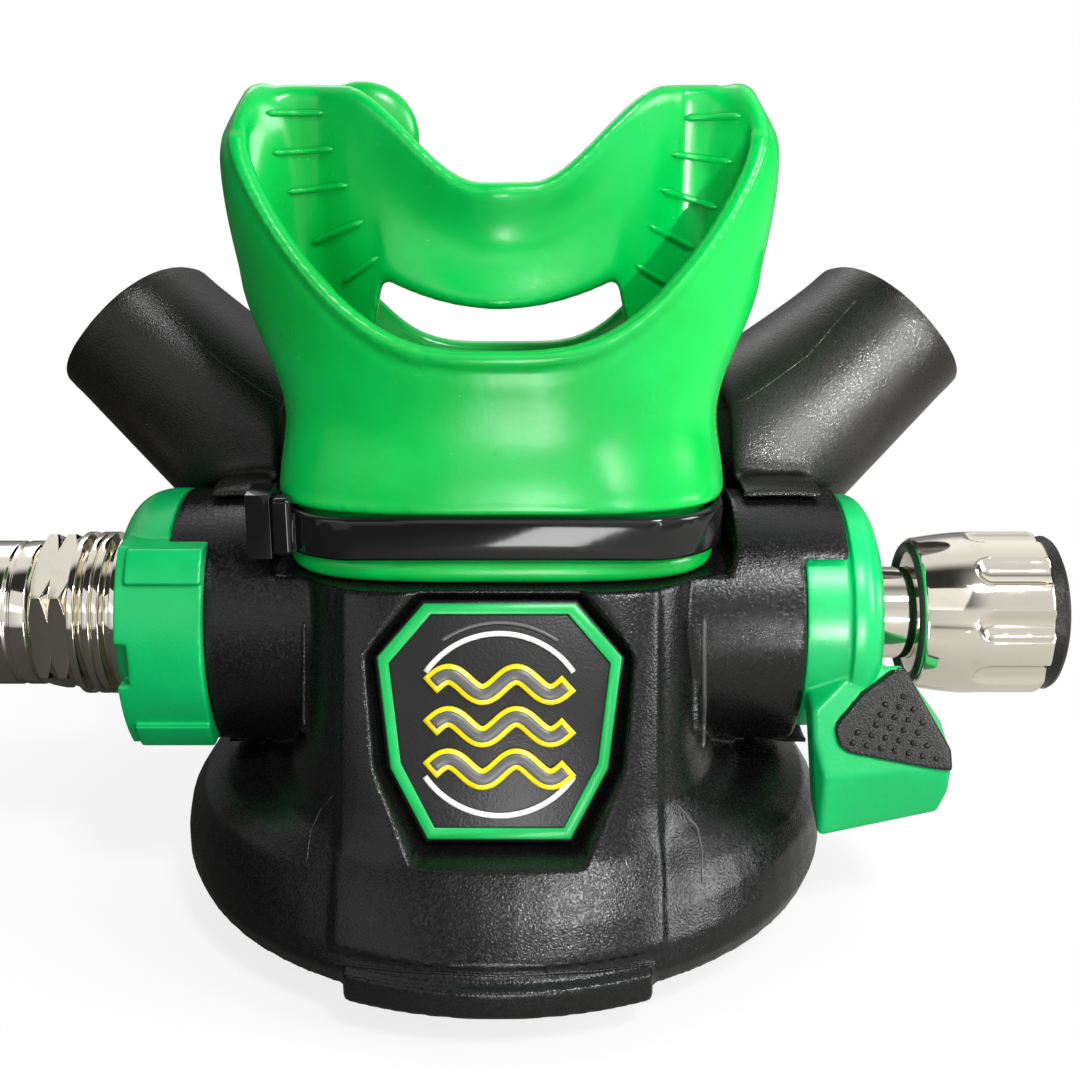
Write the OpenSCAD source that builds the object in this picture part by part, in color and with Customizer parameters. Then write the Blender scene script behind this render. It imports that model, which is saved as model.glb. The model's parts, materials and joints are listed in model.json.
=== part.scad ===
// Second stage of a scuba regulator, standing on its front cover with the mouthpiece up.
// X runs from the hose fitting (-X) to the adjusting knob (+X), Z from the cover to the mouthpiece,
// and -Y is the badge side, with the exhaust tee on the +Y side.
// The origin is the centre of the front cover's resting face. Millimetres.

/* [Case] */
// Outer radius of the round drum
drum_r = 39.5; // [38:0.25:42]
// Height of the drum's rim above the resting face
rim_z = 5; // [4.6:0.1:5.4]
// Height of the drum's shoulder
shoulder_z = 18; // [17:0.25:19]
// Wall of the case
wall = 2.4; // [2:0.1:2.8]
// Half width of the tower that carries the mouthpiece
tower_hw = 22.6; // [21.5:0.1:23.5]
// Height of the tower's top above the valve axis
tower_rise = 9; // [8.8:0.1:9.6]
// Distance of the tower's front edge from the centre, at its top
tower_front = 17.4; // [17:0.1:18]
// Distance of the tower's back face from the centre
tower_back = 19; // [18.5:0.1:20]
// Half width of the raised front panel
panel_hw = 17.6; // [17:0.1:19]
// Height by which the panel stands proud of the tower
panel_rise = 0.4; // [0.3:0.1:0.7]
// Half width of the mouthpiece neck
neck_hw = 21.4; // [20.5:0.1:21.8]
// Half depth of the mouthpiece neck
neck_hd = 12.8; // [12:0.1:13.2]
// Height of the top of the neck
neck_z = 57; // [54:0.5:59]

/* [Valve axis] */
// Height of the axis that the hose, the valve and the knob share
axis_z = 34; // [33.5:0.1:34.5]
// Outer radius of the cross tube
tube_r = 15.3; // [15:0.1:15.8]
// Distance of the hose end of the cross tube from the centre
tube_left = 38; // [37.6:0.1:38.4]
// Distance of the knob end of the cross tube from the centre
tube_right = 39.8; // [39.4:0.1:40.2]
// Outer radius of the valve barrel
barrel_r = 6.8; // [6.5:0.1:6.9]
// Wall of the valve barrel
barrel_wall = 1.2; // [1:0.1:1.3]
// Radial clearance of a running fit
run_gap = 0.06; // [0.03:0.01:0.1]
// Clearance between pieces that only lie near each other
free_gap = 0.3; // [0.2:0.05:0.4]

/* [Hose fitting] */
// Radius of the fins of the heat exchanger
fin_r = 9.9; // [9.5:0.1:10.3]
// Across the flats of the swivel nut
nut_af = 17.5; // [16.8:0.1:18]
// Radius of the polished hose ferrule
ferrule_r = 8.8; // [8.4:0.1:9.2]
// Length of the ferrule
ferrule_l = 14; // [10:0.5:20]
// Radius of the hose socket in the ferrule
socket_r = 5.6; // [5:0.1:6.2]
// Radius of the male thread on the heat exchanger
inlet_thread_r = 6.6; // [6.2:0.1:6.9]

/* [Knob] */
// Largest radius of the knob
knob_r = 9.9; // [9.5:0.1:10.4]
// Distance of the knob's inner end from the centre
knob_x = 49.5; // [49.1:0.1:49.9]
// Length of the chrome knob
knob_l = 15.3; // [14.7:0.1:17.7]
// Number of flutes in the knob
knob_flutes = 9; // [6:1:12]
// Radius of the sleeve that the knob turns on
sleeve_r = 5.6; // [5.3:0.1:5.9]
// Length of the knob's domed end cap
cap_l = 2.8; // [2:0.1:4]

/* [Venturi lever] */
// Radius of the lever's ring and of the inlet clip
ring_r = 15.3; // [14.9:0.1:15.7]
// Distance of the outer end of the lever's ring from the centre
ring_x = 44.6; // [44.2:0.1:45]
// Thickness of the lever's paddle
paddle_t = 4.4; // [3.6:0.1:5]

/* [Front cover] */
// Radius of the purge button
button_r = 22.3; // [20:0.1:23]
// Number of water slots in the cover
cover_slots = 12; // [8:1:16]
// Travel of the purge button
purge_travel = 2.6; // [2:0.1:2.6]

/* [Mouthpiece] */
// Half width of the sleeve at its lower bead
bead_hw = 24.8; // [24.4:0.1:25.2]
// Half depth of the sleeve at its lower bead
bead_hd = 15.8; // [15.4:0.1:16.2]
// Half width of the flange at its widest
flange_hw = 31; // [29:0.25:33]
// Height of the flange's rim at the middle of the badge side
rim_front_z = 68.5; // [67:0.5:70]
// Height of the flange's rim at the middle of the exhaust side
rim_back_z = 64.5; // [62.5:0.5:66]
// Height of the flange's two ends
rim_end_z = 95.4; // [93:0.2:98]
// Wall of the silicone flange
skin = 1.9; // [1.7:0.1:2.3]
// Width of the tie band
tie_w = 5; // [4.5:0.1:5.2]

/* [Exhaust tee] */
// Distance of the centre of each outlet from the middle
outlet_x = 47.5; // [46:0.5:50]
// Height of the centre of each outlet
outlet_z = 65.5; // [63:0.5:68]
// Half width of each outlet
outlet_r = 10.4; // [9.5:0.1:11.5]
// Wall of the rubber tee
tee_wall = 1.8; // [1.5:0.1:2.2]

/* [Badge] */
// Half width of the badge plate
badge_hw = 13.4; // [12.5:0.1:14]
// Length of the badge plate down the panel
badge_l = 25.6; // [24:0.1:26]
// Thickness of the badge plate
badge_t = 1.4; // [1:0.1:1.6]

/* [Hidden] */
$fn = 64;

// Case
tower_z = axis_z + tower_rise;
case_in_r = drum_r - 3.2;
ledge_z = rim_z + 5.8;
ledge_r = case_in_r - 2.6;
roof_z = shoulder_z - wall;
front_slope = 0.525;
badge_slope = 21.4;
pocket_taper = 3.6;
pocket_depth = 9;
rib_w = 0.6;
lip_hw = 16.3;
lip_r = drum_r + 1.1;
lip_drop = 0.6;
lip_h = 3.4;
notch_z = axis_z + 10.5;
exhaust_z = axis_z - 3.3;
exhaust_r = 9.3;
exhaust_seat_r = exhaust_r + 2.8;
exhaust_flap_r = exhaust_r + 1.8;
exhaust_y = tower_back + 2.2;
neck_wall = 1.8;
neck_n = 3.8;

// Valve axis, all measured along X
seat_x = -20;
orifice_r = 5.2;
barrel_in = barrel_r - barrel_wall;
bore_r = 8.16;
body_r = 8;
seal_w = 0.6;
clip_end_x = -tube_left - 6.6;
fins = [[-50.8, -49.9], [-49, -48.1], [-47.9, -47], [-45.9, -44.8]];
fin_x = fins[3][1];
fin_end_x = fins[0][0];
nut_x0 = fin_end_x - 4.6;
nut_mid_x = fin_end_x - 2.4;
nut_x1 = fin_end_x - 0.2;
thread_end_x = fin_end_x - 2.2;
stem_end_x = nut_x0 + 1.3;
nut_floor = 0.8;
nut_corner_r = nut_af / 2 / cos(30);
collar_r = inlet_thread_r - 0.4;
ferrule_x0 = nut_x0 - ferrule_l;
stem_r = socket_r - 1.3;
clip_l = 9.8;
clip_x0 = -tube_left - 5.2;
hub_r = 13.8;
hub_x = 34.9;
ring_x0 = tube_right + 0.3;
vane_out = bore_r - run_gap;
vane_in = barrel_r + run_gap;
sleeve_x0 = 22;
sleeve_x1 = knob_x + 3;
knob_ring_w = 0.75;
knob_ring_r = knob_r - 1.1 - knob_ring_w;
knob_ring_x = knob_x + 0.3;
flute_start = 0.52;
flute_r = 2.2;
barrel_x1 = sleeve_x0 + 14.5;
lever_ring_r = ring_r - 0.8;
lever_end_r = 8.6;
skirt_y = -3.4;
clip_end_r = 11.4;
pivot_x = -12;
pivot_z = axis_z - 5;

// Front cover
land_r0 = 28;
land_r1 = 31.6;
flange_z0 = 3.4;
flange_z1 = 4.2;
hub_z0 = flange_z1 + purge_travel + free_gap;
skirt_top = hub_z0 - 0.1;
disc_r = 13.6;
disc_z = ledge_z - 1.4;
disc_t = 1.4;
disc_pad = 0.4;
disc_pad_r = disc_r - 2.6;
button_z = 0.9;
button_in_z = 2.4;
stem_top = disc_z - free_gap;
purge_stem_r = 2.2;

// Mouthpiece
bead_z = tower_z + 0.2;
groove_z0 = bead_z + 2.7;
groove_z1 = groove_z0 + tie_w + 0.4;
brow_z = groove_z1 + 0.7;
waist_z = 60;
flare_z = 76;
head_x = bead_hw + 0.5;
head_w = 2.7;
head_d = 5.2;
head_h = 7.4;
head_y = -14.6;
head_z = groove_z0 - 0.1;

function seg(a, b, t) = a + (b - a) * t;
function smooth(t) = t * t * (3 - 2 * t);
function clamp(t) = min(1, max(0, t));
// A point of a superellipse of half axes a and b, at angle q
function se(a, b, n, q) = let (c = cos(q), s = sin(q))
    [a * sign(c) * pow(abs(c), 2 / n), b * sign(s) * pow(abs(s), 2 / n)];
// Triangles between rings of n points each, closed along the rings from first to last
function tube_faces(rings, n) = [for (i = [0 : rings - 2], j = [0 : n - 1], k = [0, 1])
    let (a = i * n + j, b = i * n + (j + 1) % n, c = a + n, d = b + n)
    k == 0 ? [a, c, b] : [b, c, d]];
function loop_faces(rings, n) = [for (i = [0 : rings - 1], j = [0 : n - 1], k = [0, 1])
    let (m = (i + 1) % rings, a = i * n + j, b = i * n + (j + 1) % n, c = m * n + j,
        d = m * n + (j + 1) % n)
    k == 0 ? [a, c, b] : [b, c, d]];
function end_cap(start, n, flip) = [for (j = [1 : n - 2])
    flip ? [start, start + j + 1, start + j] : [start, start + j, start + j + 1]];

module along_x(x0, x1, r, r2 = undef, fn = 64) {
    translate([x0, 0, axis_z]) rotate([0, 90, 0])
        cylinder(h = x1 - x0, r1 = r, r2 = is_undef(r2) ? r : r2, $fn = fn);
}

module ring_x(x0, x1, r_out, r_in) {
    difference() {
        along_x(x0, x1, r_out);
        along_x(x0 - 1, x1 + 1, r_in);
    }
}

// A torus about the valve axis
module o_ring(x, r, w) {
    translate([x, 0, axis_z]) rotate([0, 90, 0])
        rotate_extrude() translate([r, 0]) circle(w, $fn = 24);
}

module rounded_rect(hw, hd, r) {
    union() {
        square([2 * (hw - r), 2 * hd], center = true);
        square([2 * hw, 2 * (hd - r)], center = true);
        for (sx = [-1, 1], sy = [-1, 1]) translate([sx * (hw - r), sy * (hd - r)]) circle(r);
    }
}

module neck_outline(grow) {
    polygon([for (j = [0 : 71]) se(neck_hw + grow, neck_hd + grow, neck_n, 5 * j)]);
}

// Extrudes a Y-Z outline along X, over both half widths
module cross_section(hw) {
    translate([-hw, 0, 0]) rotate([90, 0, 90]) linear_extrude(2 * hw) children();
}

// Distance of the case's front from the centre: a straight slope down to the shoulder
function front_at(z) = tower_front + (tower_z - z) * front_slope;
// Sections of the case body from the rim to the tower: height, half width, distance of the
// front and of the back from the centre, and squareness
body_sections = [
    [rim_z, drum_r - 0.8, drum_r - 0.8, drum_r - 0.8, 2],
    [rim_z + 2.2, drum_r, drum_r, drum_r, 2],
    [rim_z + 4.6, drum_r, drum_r - 1, drum_r, 2],
    [shoulder_z - 5.5, drum_r - 0.6, drum_r - 3.4, drum_r - 0.6, 2.05],
    [shoulder_z - 3, drum_r - 2.2, front_at(shoulder_z - 3) + 1.6, drum_r - 2.6, 2.1],
    [shoulder_z - 1, drum_r - 5.6, front_at(shoulder_z - 1) + 0.5, drum_r - 8.5, 2.25],
    [shoulder_z + 0.4, drum_r - 10.6, front_at(shoulder_z + 0.4) + 0.2, tower_back + 3.2, 2.6],
    [shoulder_z + 3, tower_hw + 2.8, front_at(shoulder_z + 3), tower_back + 0.6, 3],
    [shoulder_z + 7, tower_hw + 1.1, front_at(shoulder_z + 7), tower_back, 3.5],
    [shoulder_z + 13, tower_hw + 0.3, front_at(shoulder_z + 13), tower_back, 4],
    [shoulder_z + 19, tower_hw, front_at(shoulder_z + 19), tower_back, 4.4],
    [tower_z, tower_hw, tower_front, tower_back, 4.8]];
module case_body(grow) {
    n = 72;
    pts = [for (b = body_sections, j = [0 : n - 1]) let (q = 360 * (j + 0.5) / n,
        p = se(b[1] + grow, (sin(q) < 0 ? b[2] : b[3]) + grow, b[4], q))
        [p[0], p[1], b[0] + (b[0] == tower_z ? 0 : grow * 0.5)]];
    last = (len(body_sections) - 1) * n;
    polyhedron(pts, concat([for (f = tube_faces(len(body_sections), n)) [f[0], f[1], f[2]]],
        end_cap(0, n, false), end_cap(last, n, true)), convexity = 6);
}

module badge_place() {
    // Lies on the sloping floor of the pocket, with its own X across and Y up the panel
    translate([0, -tower_front - 0.2, tower_z - 1.3]) rotate([90 - badge_slope, 0, 0])
        children();
}

module pocket_outline(grow) {
    // Eight-sided badge outline, from its top edge at y = 0 down
    hw = badge_hw + grow;
    top_hw = badge_hw * 0.62 + grow * 0.6;
    low_hw = badge_hw * 0.58 + grow * 0.6;
    shoulder_hw = badge_hw * 0.885 + grow;
    polygon([[-top_hw, grow], [top_hw, grow], [hw, -badge_l * 0.23], [shoulder_hw, -badge_l * 0.7],
        [low_hw, -badge_l - grow], [-low_hw, -badge_l - grow], [-shoulder_hw, -badge_l * 0.7],
        [-hw, -badge_l * 0.23]]);
}

module case() {
    color([0.09, 0.09, 0.09]) difference() {
        union() {
            // Bell that runs from the round drum to the square tower
            case_body(0);
            intersection() {
                case_body(panel_rise);
                translate([-panel_hw, -60, rim_z + 4.6]) cube([2 * panel_hw, 60, tower_z - rim_z - 4.6]);
            }
            // Two ribs that stop the panel against the cross tube
            intersection() {
                case_body(rib_w);
                for (s = [-1, 1]) translate([s * (tower_hw + 0.1) - rib_w / 2, -30, axis_z - 8])
                    cube([rib_w, 18, 13]);
            }
            // Cross tube for the valve, with the stop step at its knob end
            difference() {
                along_x(-tube_left, tube_right, tube_r);
                translate([0, 0, tower_z]) linear_extrude(20)
                    rounded_rect(bead_hw + 1.9, bead_hd + 1.6, 9);
                translate([-head_x - head_w - free_gap, head_y - free_gap, head_z - free_gap])
                    cube([head_w + 3, head_d + 3, 20]);
            }
            // Lip that locks the front cover, on both sides of the drum
            intersection() {
                translate([0, 0, rim_z - lip_drop]) cylinder(h = lip_h, r = lip_r, $fn = 128);
                cube([2 * lip_hw, 200, 40], center = true);
            }
            // Seat of the exhaust valve
            translate([0, 0, exhaust_z]) rotate([-90, 0, 0]) cylinder(h = exhaust_y, r = exhaust_seat_r);
            // Neck that the mouthpiece fits over, with a bead that holds it
            translate([0, 0, tower_z - 1]) linear_extrude(neck_z - tower_z + 1)
                neck_outline(0);
        }
        // Cover thread, diaphragm ledge and water chamber
        translate([0, 0, rim_z - 3]) cylinder(h = ledge_z - rim_z + 3, r = case_in_r, $fn = 128);
        rotate_extrude($fn = 96) polygon([[0, ledge_z - 1], [ledge_r, ledge_z - 1],
            [ledge_r, ledge_z + 1.4], [ledge_r - 4, roof_z], [0, roof_z]]);
        // Inside of the tower, from the chamber to the neck
        cross_section(tower_hw - wall) polygon([[-tower_front + 5.4, tower_z - 5],
            [-tower_front - 2, shoulder_z + 2], [-tower_front - 2, roof_z - 1],
            [tower_back - wall, roof_z - 1], [tower_back - wall, tower_z - 5]]);
        translate([0, 0, tower_z - 6]) linear_extrude(40)
            neck_outline(-neck_wall);
        // Bore for the valve, wider at the knob end for the vane's sleeve
        along_x(-tube_left - 1, seat_x, body_r + run_gap);
        along_x(seat_x - 1, 1, barrel_r + run_gap);
        along_x(0, tube_right + 1, bore_r);
        // Step in the knob end, where the lever's hub turns
        difference() {
            along_x(hub_x - 0.3, tube_right + 1, tube_r + 1);
            translate([0, 0, notch_z + 20]) cube([200, 200, 40], center = true);
            translate([0, 50 + 4, 0]) cube([200, 100, 200], center = true);
        }
        along_x(hub_x - 0.3, tube_right + 1, hub_r + free_gap);
        // Exhaust port behind its valve
        difference() {
            translate([0, 0, exhaust_z]) rotate([-90, 0, 0]) cylinder(h = exhaust_y + 1, r = exhaust_r);
            for (a = [45, 135]) translate([0, exhaust_y - 1, exhaust_z]) rotate([0, a, 0])
                cube([2 * exhaust_r + 2, 2, 1.6], center = true);
            translate([0, 0, exhaust_z]) rotate([-90, 0, 0]) cylinder(h = exhaust_y, r = 3);
        }
        translate([0, tower_back - 8, exhaust_z]) rotate([-90, 0, 0])
            cylinder(h = 20, r = 1.1, $fn = 24);
        // Pocket for the badge: a floor along the slope, cut out through the shoulder below
        badge_place() hull() {
            translate([0, 0, -badge_t]) linear_extrude(0.1) pocket_outline(0.7);
            translate([0, 0, pocket_depth]) linear_extrude(0.1) pocket_outline(0.7 + pocket_taper);
        }
    }
}

module front_cover() {
    color([0.1, 0.1, 0.1]) difference() {
        rotate_extrude($fn = 128) polygon([[button_r + 0.3, 1.2], [land_r0 - 2, 0.5], [land_r0, 0],
            [land_r1, 0], [case_in_r - 2, 1.9], [case_in_r - run_gap, rim_z - 0.6],
            [case_in_r - run_gap, skirt_top], [case_in_r - 2.6, skirt_top],
            [case_in_r - 2.6, flange_z0 - 0.1], [button_r + 0.3, flange_z0 - 0.1]]);
        for (i = [0 : cover_slots - 1]) rotate([0, 0, 360 / cover_slots * (i + 0.5)])
            translate([(land_r0 + land_r1) / 2, 0, -1]) linear_extrude(6) {
                square([2.6, 2.4], center = true);
                translate([1.3, 0]) circle(1.2);
                translate([-1.3, 0]) circle(1.2);
            }
    }
}

module purge_button() {
    color([0.12, 0.12, 0.12]) {
        difference() {
            rotate_extrude($fn = 96) polygon([[0, button_z], [button_r - 0.9, button_z],
                [button_r, button_z + 0.6], [button_r, flange_z0], [button_r + 1.9, flange_z0],
                [button_r + 1.9, flange_z1], [button_r - 2, flange_z1], [button_r - 2, button_in_z],
                [purge_stem_r, button_in_z], [purge_stem_r, stem_top], [0, stem_top]]);
            for (r = [7 : 3.5 : button_r - 3]) rotate_extrude($fn = 72)
                translate([r, button_z]) circle(0.5, $fn = 16);
        }
    }
}

// Wire coil about Z: turns of radius r from z0 to z1, ground flat ends left out
function coil(r, z0, z1, turns, w, sides, per) = let (n = turns * per)
    [for (i = [0 : n], j = [0 : sides - 1]) let (q = 360 * i / per, p = 360 * j / sides,
        rr = r + w * cos(p), z = seg(z0, z1, i / n) + w * sin(p))
        [rr * cos(q), rr * sin(q), z]];

module coil_body(r, z0, z1, turns, w) {
    sides = 6;
    per = 16;
    rings = turns * per + 1;
    polyhedron(coil(r, z0, z1, turns, w, sides, per), concat(
        [for (f = tube_faces(rings, sides)) [f[0], f[2], f[1]]], end_cap(0, sides, true),
        end_cap((rings - 1) * sides, sides, false)), convexity = 8);
}

module purge_spring() {
    color([0.75, 0.75, 0.77])
        coil_body(3.9, button_in_z + 0.4, hub_z0 - 0.4, 3, 0.35);
}

module clamp_ring() {
    spider_z = hub_z0 + 0.2;
    color([0.14, 0.14, 0.15]) difference() {
        union() {
            rotate_extrude($fn = 128) polygon([[ledge_r, hub_z0], [case_in_r - 0.2, hub_z0],
                [case_in_r - 0.2, disc_z - 0.1], [ledge_r, disc_z - 0.1]]);
            translate([0, 0, spider_z]) cylinder(h = 1.2, r = 5.6);
            for (a = [0, 120, 240]) rotate([0, 0, a]) translate([4.5, -1.5, spider_z])
                cube([ledge_r - 3.5, 3, 0.8]);
        }
        translate([0, 0, hub_z0 - 1]) cylinder(h = 9, r = purge_stem_r + free_gap);
    }
}

module diaphragm() {
    color([0.35, 0.36, 0.38]) rotate_extrude($fn = 96) polygon(concat(
        [[disc_r + free_gap, disc_z], [ledge_r - 7, disc_z]],
        [for (a = [0 : 20 : 180]) [ledge_r - 4 - 3 * cos(a), disc_z + 2.6 * sin(a)]],
        [[ledge_r - 0.8, disc_z], [case_in_r - 0.2, disc_z], [case_in_r - 0.2, ledge_z],
            [ledge_r - 0.3, ledge_z], [ledge_r - 0.3, disc_z + 0.8]],
        [for (a = [160 : -20 : 20]) [ledge_r - 4 - 3.7 * cos(a), disc_z + 0.7 + 2.7 * sin(a)]],
        [[ledge_r - 7.6, disc_z + 0.7], [disc_r + free_gap, disc_z + 0.7]]));
}

module diaphragm_disc() {
    color([0.8, 0.8, 0.8]) rotate_extrude($fn = 72) polygon([[0, disc_z], [disc_r, disc_z],
        [disc_r, disc_z + 0.8], [disc_r - 1, disc_z + disc_t], [disc_pad_r, disc_z + disc_t],
        [disc_pad_r - 0.6, disc_z + disc_t + disc_pad], [0, disc_z + disc_t + disc_pad]]);
}

lever_tip_z = disc_z + disc_t + disc_pad + 0.1;
lever_x = disc_pad_r - 3;
module demand_lever() {
    color([0.78, 0.78, 0.8]) {
        // Two arms that run beside the barrel's slot and meet at the tip
        for (s = [-1, 1]) translate([0, s * 2.6 - 0.5, 0]) rotate([90, 0, 0]) mirror([0, 0, 1])
            linear_extrude(1) polygon([[pivot_x - 1.6, pivot_z + 1.4], [pivot_x + 1.6, pivot_z + 1.4],
                [pivot_x + 2.6, pivot_z - 3.5], [lever_x + 1, lever_tip_z + 1.6],
                [lever_x + 1, lever_tip_z + 0.4], [lever_x - 0.8, lever_tip_z + 0.4],
                [pivot_x + 0.6, pivot_z - 4.6], [pivot_x - 1.6, pivot_z - 1]]);
        translate([lever_x, -3.1, lever_tip_z + 1]) rotate([-90, 0, 0]) cylinder(h = 6.2, r = 1, $fn = 24);
        translate([pivot_x, -4.4, pivot_z]) rotate([-90, 0, 0]) cylinder(h = 8.8, r = 0.9, $fn = 24);
    }
}

module valve_barrel() {
    color([0.72, 0.73, 0.75]) difference() {
        along_x(seat_x, barrel_x1, barrel_r);
        along_x(seat_x - 1, barrel_x1 + 1, barrel_in);
        // Slot for the demand lever and its fulcrum
        translate([pivot_x - 2.6, -3.5, axis_z - barrel_r - 1]) cube([12, 7, 7]);
        translate([pivot_x, -6, pivot_z]) rotate([-90, 0, 0]) cylinder(h = 12, r = 0.9 + run_gap, $fn = 24);
        // Outlet towards the mouthpiece
        translate([-4, 0, axis_z]) cylinder(h = 12, r = 4.4, $fn = 48);
    }
}

module valve_orifice() {
    color([0.8, 0.74, 0.5]) difference() {
        union() {
            along_x(seat_x - 6, seat_x + 3, orifice_r);
            along_x(seat_x + 3, seat_x + 4.2, 3.6, 2.6);
        }
        along_x(seat_x - 7, seat_x + 5, 1.9);
        o_ring(seat_x - 2, orifice_r - seal_w, seal_w + 0.05);
    }
}

module orifice_o_ring() {
    color([0.08, 0.08, 0.08]) o_ring(seat_x - 2, orifice_r - seal_w, seal_w);
}

poppet_x = seat_x + 4.8;
module poppet() {
    color([0.76, 0.77, 0.79]) difference() {
        union() {
            along_x(poppet_x, poppet_x + 5, barrel_in - 0.35);
            along_x(poppet_x + 5, poppet_x + 20, 2.2);
        }
        along_x(poppet_x - 1, poppet_x + 1.6, 4.4);
        // Gap that the lever's feet reach into
        translate([pivot_x - 2.6, -4, axis_z - barrel_r]) cube([5.6, 8, 5]);
    }
}

module poppet_seat() {
    color([0.15, 0.15, 0.16]) along_x(poppet_x + 0.1, poppet_x + 1.6, 4.3);
}

screw_x = sleeve_x0 - 4;
screw_travel = 2.5;
spindle_r = 1.8;
spring_x0 = poppet_x + 5.8;
spring_x1 = screw_x - screw_travel - 1.1;
spring_r = barrel_in - 1.4;
module poppet_spring() {
    color([0.75, 0.75, 0.77]) translate([spring_x0, 0, axis_z]) rotate([0, 90, 0])
        coil_body(spring_r, 0, spring_x1 - spring_x0, 6, 0.45);
}

module adjuster_screw() {
    color([0.8, 0.74, 0.5]) difference() {
        union() {
            along_x(screw_x - 0.4, screw_x + 2.4, barrel_in - 0.35);
            along_x(screw_x + 2.4, screw_x + 26, 3);
        }
        along_x(screw_x - 1, screw_x + 9, 2.2 + free_gap);
        // Socket that slides along the knob's spindle
        along_x(screw_x + 14, screw_x + 27, spindle_r + run_gap);
    }
}

module adjuster_sleeve() {
    color([0.82, 0.83, 0.85]) difference() {
        union() {
            along_x(barrel_x1 + 0.1, sleeve_x1, sleeve_r);
            along_x(barrel_x1 + 0.1, barrel_x1 + 3.1, barrel_r);
        }
        along_x(sleeve_x0, sleeve_x1 + 1, 3.4);
        o_ring(sleeve_x1 - 1.2, sleeve_r - seal_w, seal_w + 0.05);
    }
}

module sleeve_o_ring() {
    color([0.08, 0.08, 0.08]) o_ring(sleeve_x1 - 1.2, sleeve_r - seal_w, seal_w);
}

module heat_exchanger() {
    color([0.82, 0.83, 0.85]) difference() {
        union() {
            along_x(seat_x - 16, seat_x, body_r);
            along_x(fin_x, seat_x - 16, body_r - 0.6);
            for (f = fins) along_x(f[0], f[1], fin_r);
            along_x(fins[1][0], fins[2][1], fin_r - 0.4);
            along_x(fin_end_x, fin_x, fin_r - 1.7);
            along_x(thread_end_x, fin_end_x, inlet_thread_r);
        }
        along_x(seat_x - 6.2, seat_x + 1, orifice_r + run_gap);
        along_x(thread_end_x - 1, seat_x, 3.4);
        o_ring(seat_x - 12, body_r - seal_w, seal_w + 0.05);
    }
}

module inlet_o_ring() {
    color([0.08, 0.08, 0.08]) o_ring(seat_x - 12, body_r - seal_w, seal_w);
}

// Domed ring of the end pieces: outer radius falls from r to r_end over the length
module domed_ring(x0, x1, r, r_in, r_end) {
    dir = x1 > x0 ? 1 : -1;
    len = abs(x1 - x0);
    translate([x0, 0, axis_z]) rotate([0, dir * 90, 0]) rotate_extrude($fn = 96)
        polygon(concat([[r_in, 0], [r, 0], [r, len * 0.25]],
            [for (a = [10 : 10 : 80]) [r_end + (r - r_end) * cos(a), len * (0.25 + 0.75 * sin(a))]],
            [[r_end, len], [r_in, len]]));
}

module inlet_clip() {
    color([0.02, 0.68, 0.28]) difference() {
        union() {
            domed_ring(-tube_left - 0.1, clip_end_x, ring_r, body_r + 0.2, clip_end_r);
            // Grip block on the badge side with a rib along each end
            difference() {
                intersection() {
                    translate([clip_x0, -ring_r - 3, axis_z - 11.4]) cube([clip_l, 16, 23.8]);
                    along_x(clip_x0, clip_x0 + clip_l, tube_r + free_gap + 1.5);
                }
                translate([clip_x0 - 1, -ring_r - 4, axis_z - 2.6]) cube([2.4, 9, 5]);
            }
            intersection() {
                for (z = [9, -11.4]) translate([clip_x0 + 1.2, -ring_r - 3, axis_z + z])
                    cube([clip_l - 1.2, 14, 3.4]);
                along_x(clip_x0, clip_x0 + clip_l, tube_r + free_gap + 2.3);
            }
        }
        along_x(-tube_left, -10, tube_r + free_gap);
        along_x(-tube_left - 20, -tube_left + 5, body_r + 0.2);
    }
}

module swivel_nut() {
    color([0.85, 0.86, 0.88]) difference() {
        intersection() {
            along_x(nut_x0, nut_x1, nut_corner_r, fn = 6);
            // Two chamfered hexagons with a V groove between them
            union() for (b = [[nut_x0, nut_mid_x], [nut_mid_x, nut_x1]]) {
                along_x(b[0], b[0] + 0.7, nut_corner_r - 1.1, nut_corner_r + 0.1);
                along_x(b[0] + 0.7, b[1] - 0.7, nut_corner_r + 0.1);
                along_x(b[1] - 0.7, b[1], nut_corner_r + 0.1, nut_corner_r - 1.1);
            }
        }
        along_x(nut_x0 + nut_floor, nut_x1 + 1, inlet_thread_r + run_gap);
        along_x(nut_x0 - 1, nut_x1, stem_r + run_gap);
    }
}

module hose_ferrule() {
    color([0.85, 0.86, 0.88]) difference() {
        union() {
            along_x(ferrule_x0, nut_x0 - 0.2, ferrule_r);
            along_x(nut_x0 - 0.4, stem_end_x, stem_r);
            along_x(nut_x0 + nut_floor + run_gap, stem_end_x, collar_r);
        }
        along_x(ferrule_x0 - 1, nut_x0 - 4, socket_r);
        along_x(nut_x0 - 5, nut_x0 + 3, 2.4);
    }
}

module hose_o_ring() {
    color([0.08, 0.08, 0.08]) o_ring((thread_end_x + stem_end_x) / 2, 3.4, 0.5);
}

module knob() {
    color([0.85, 0.86, 0.88]) union() {
        along_x(screw_x + 15, knob_x + 4, spindle_r);
        knob_shell();
    }
}

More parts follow.
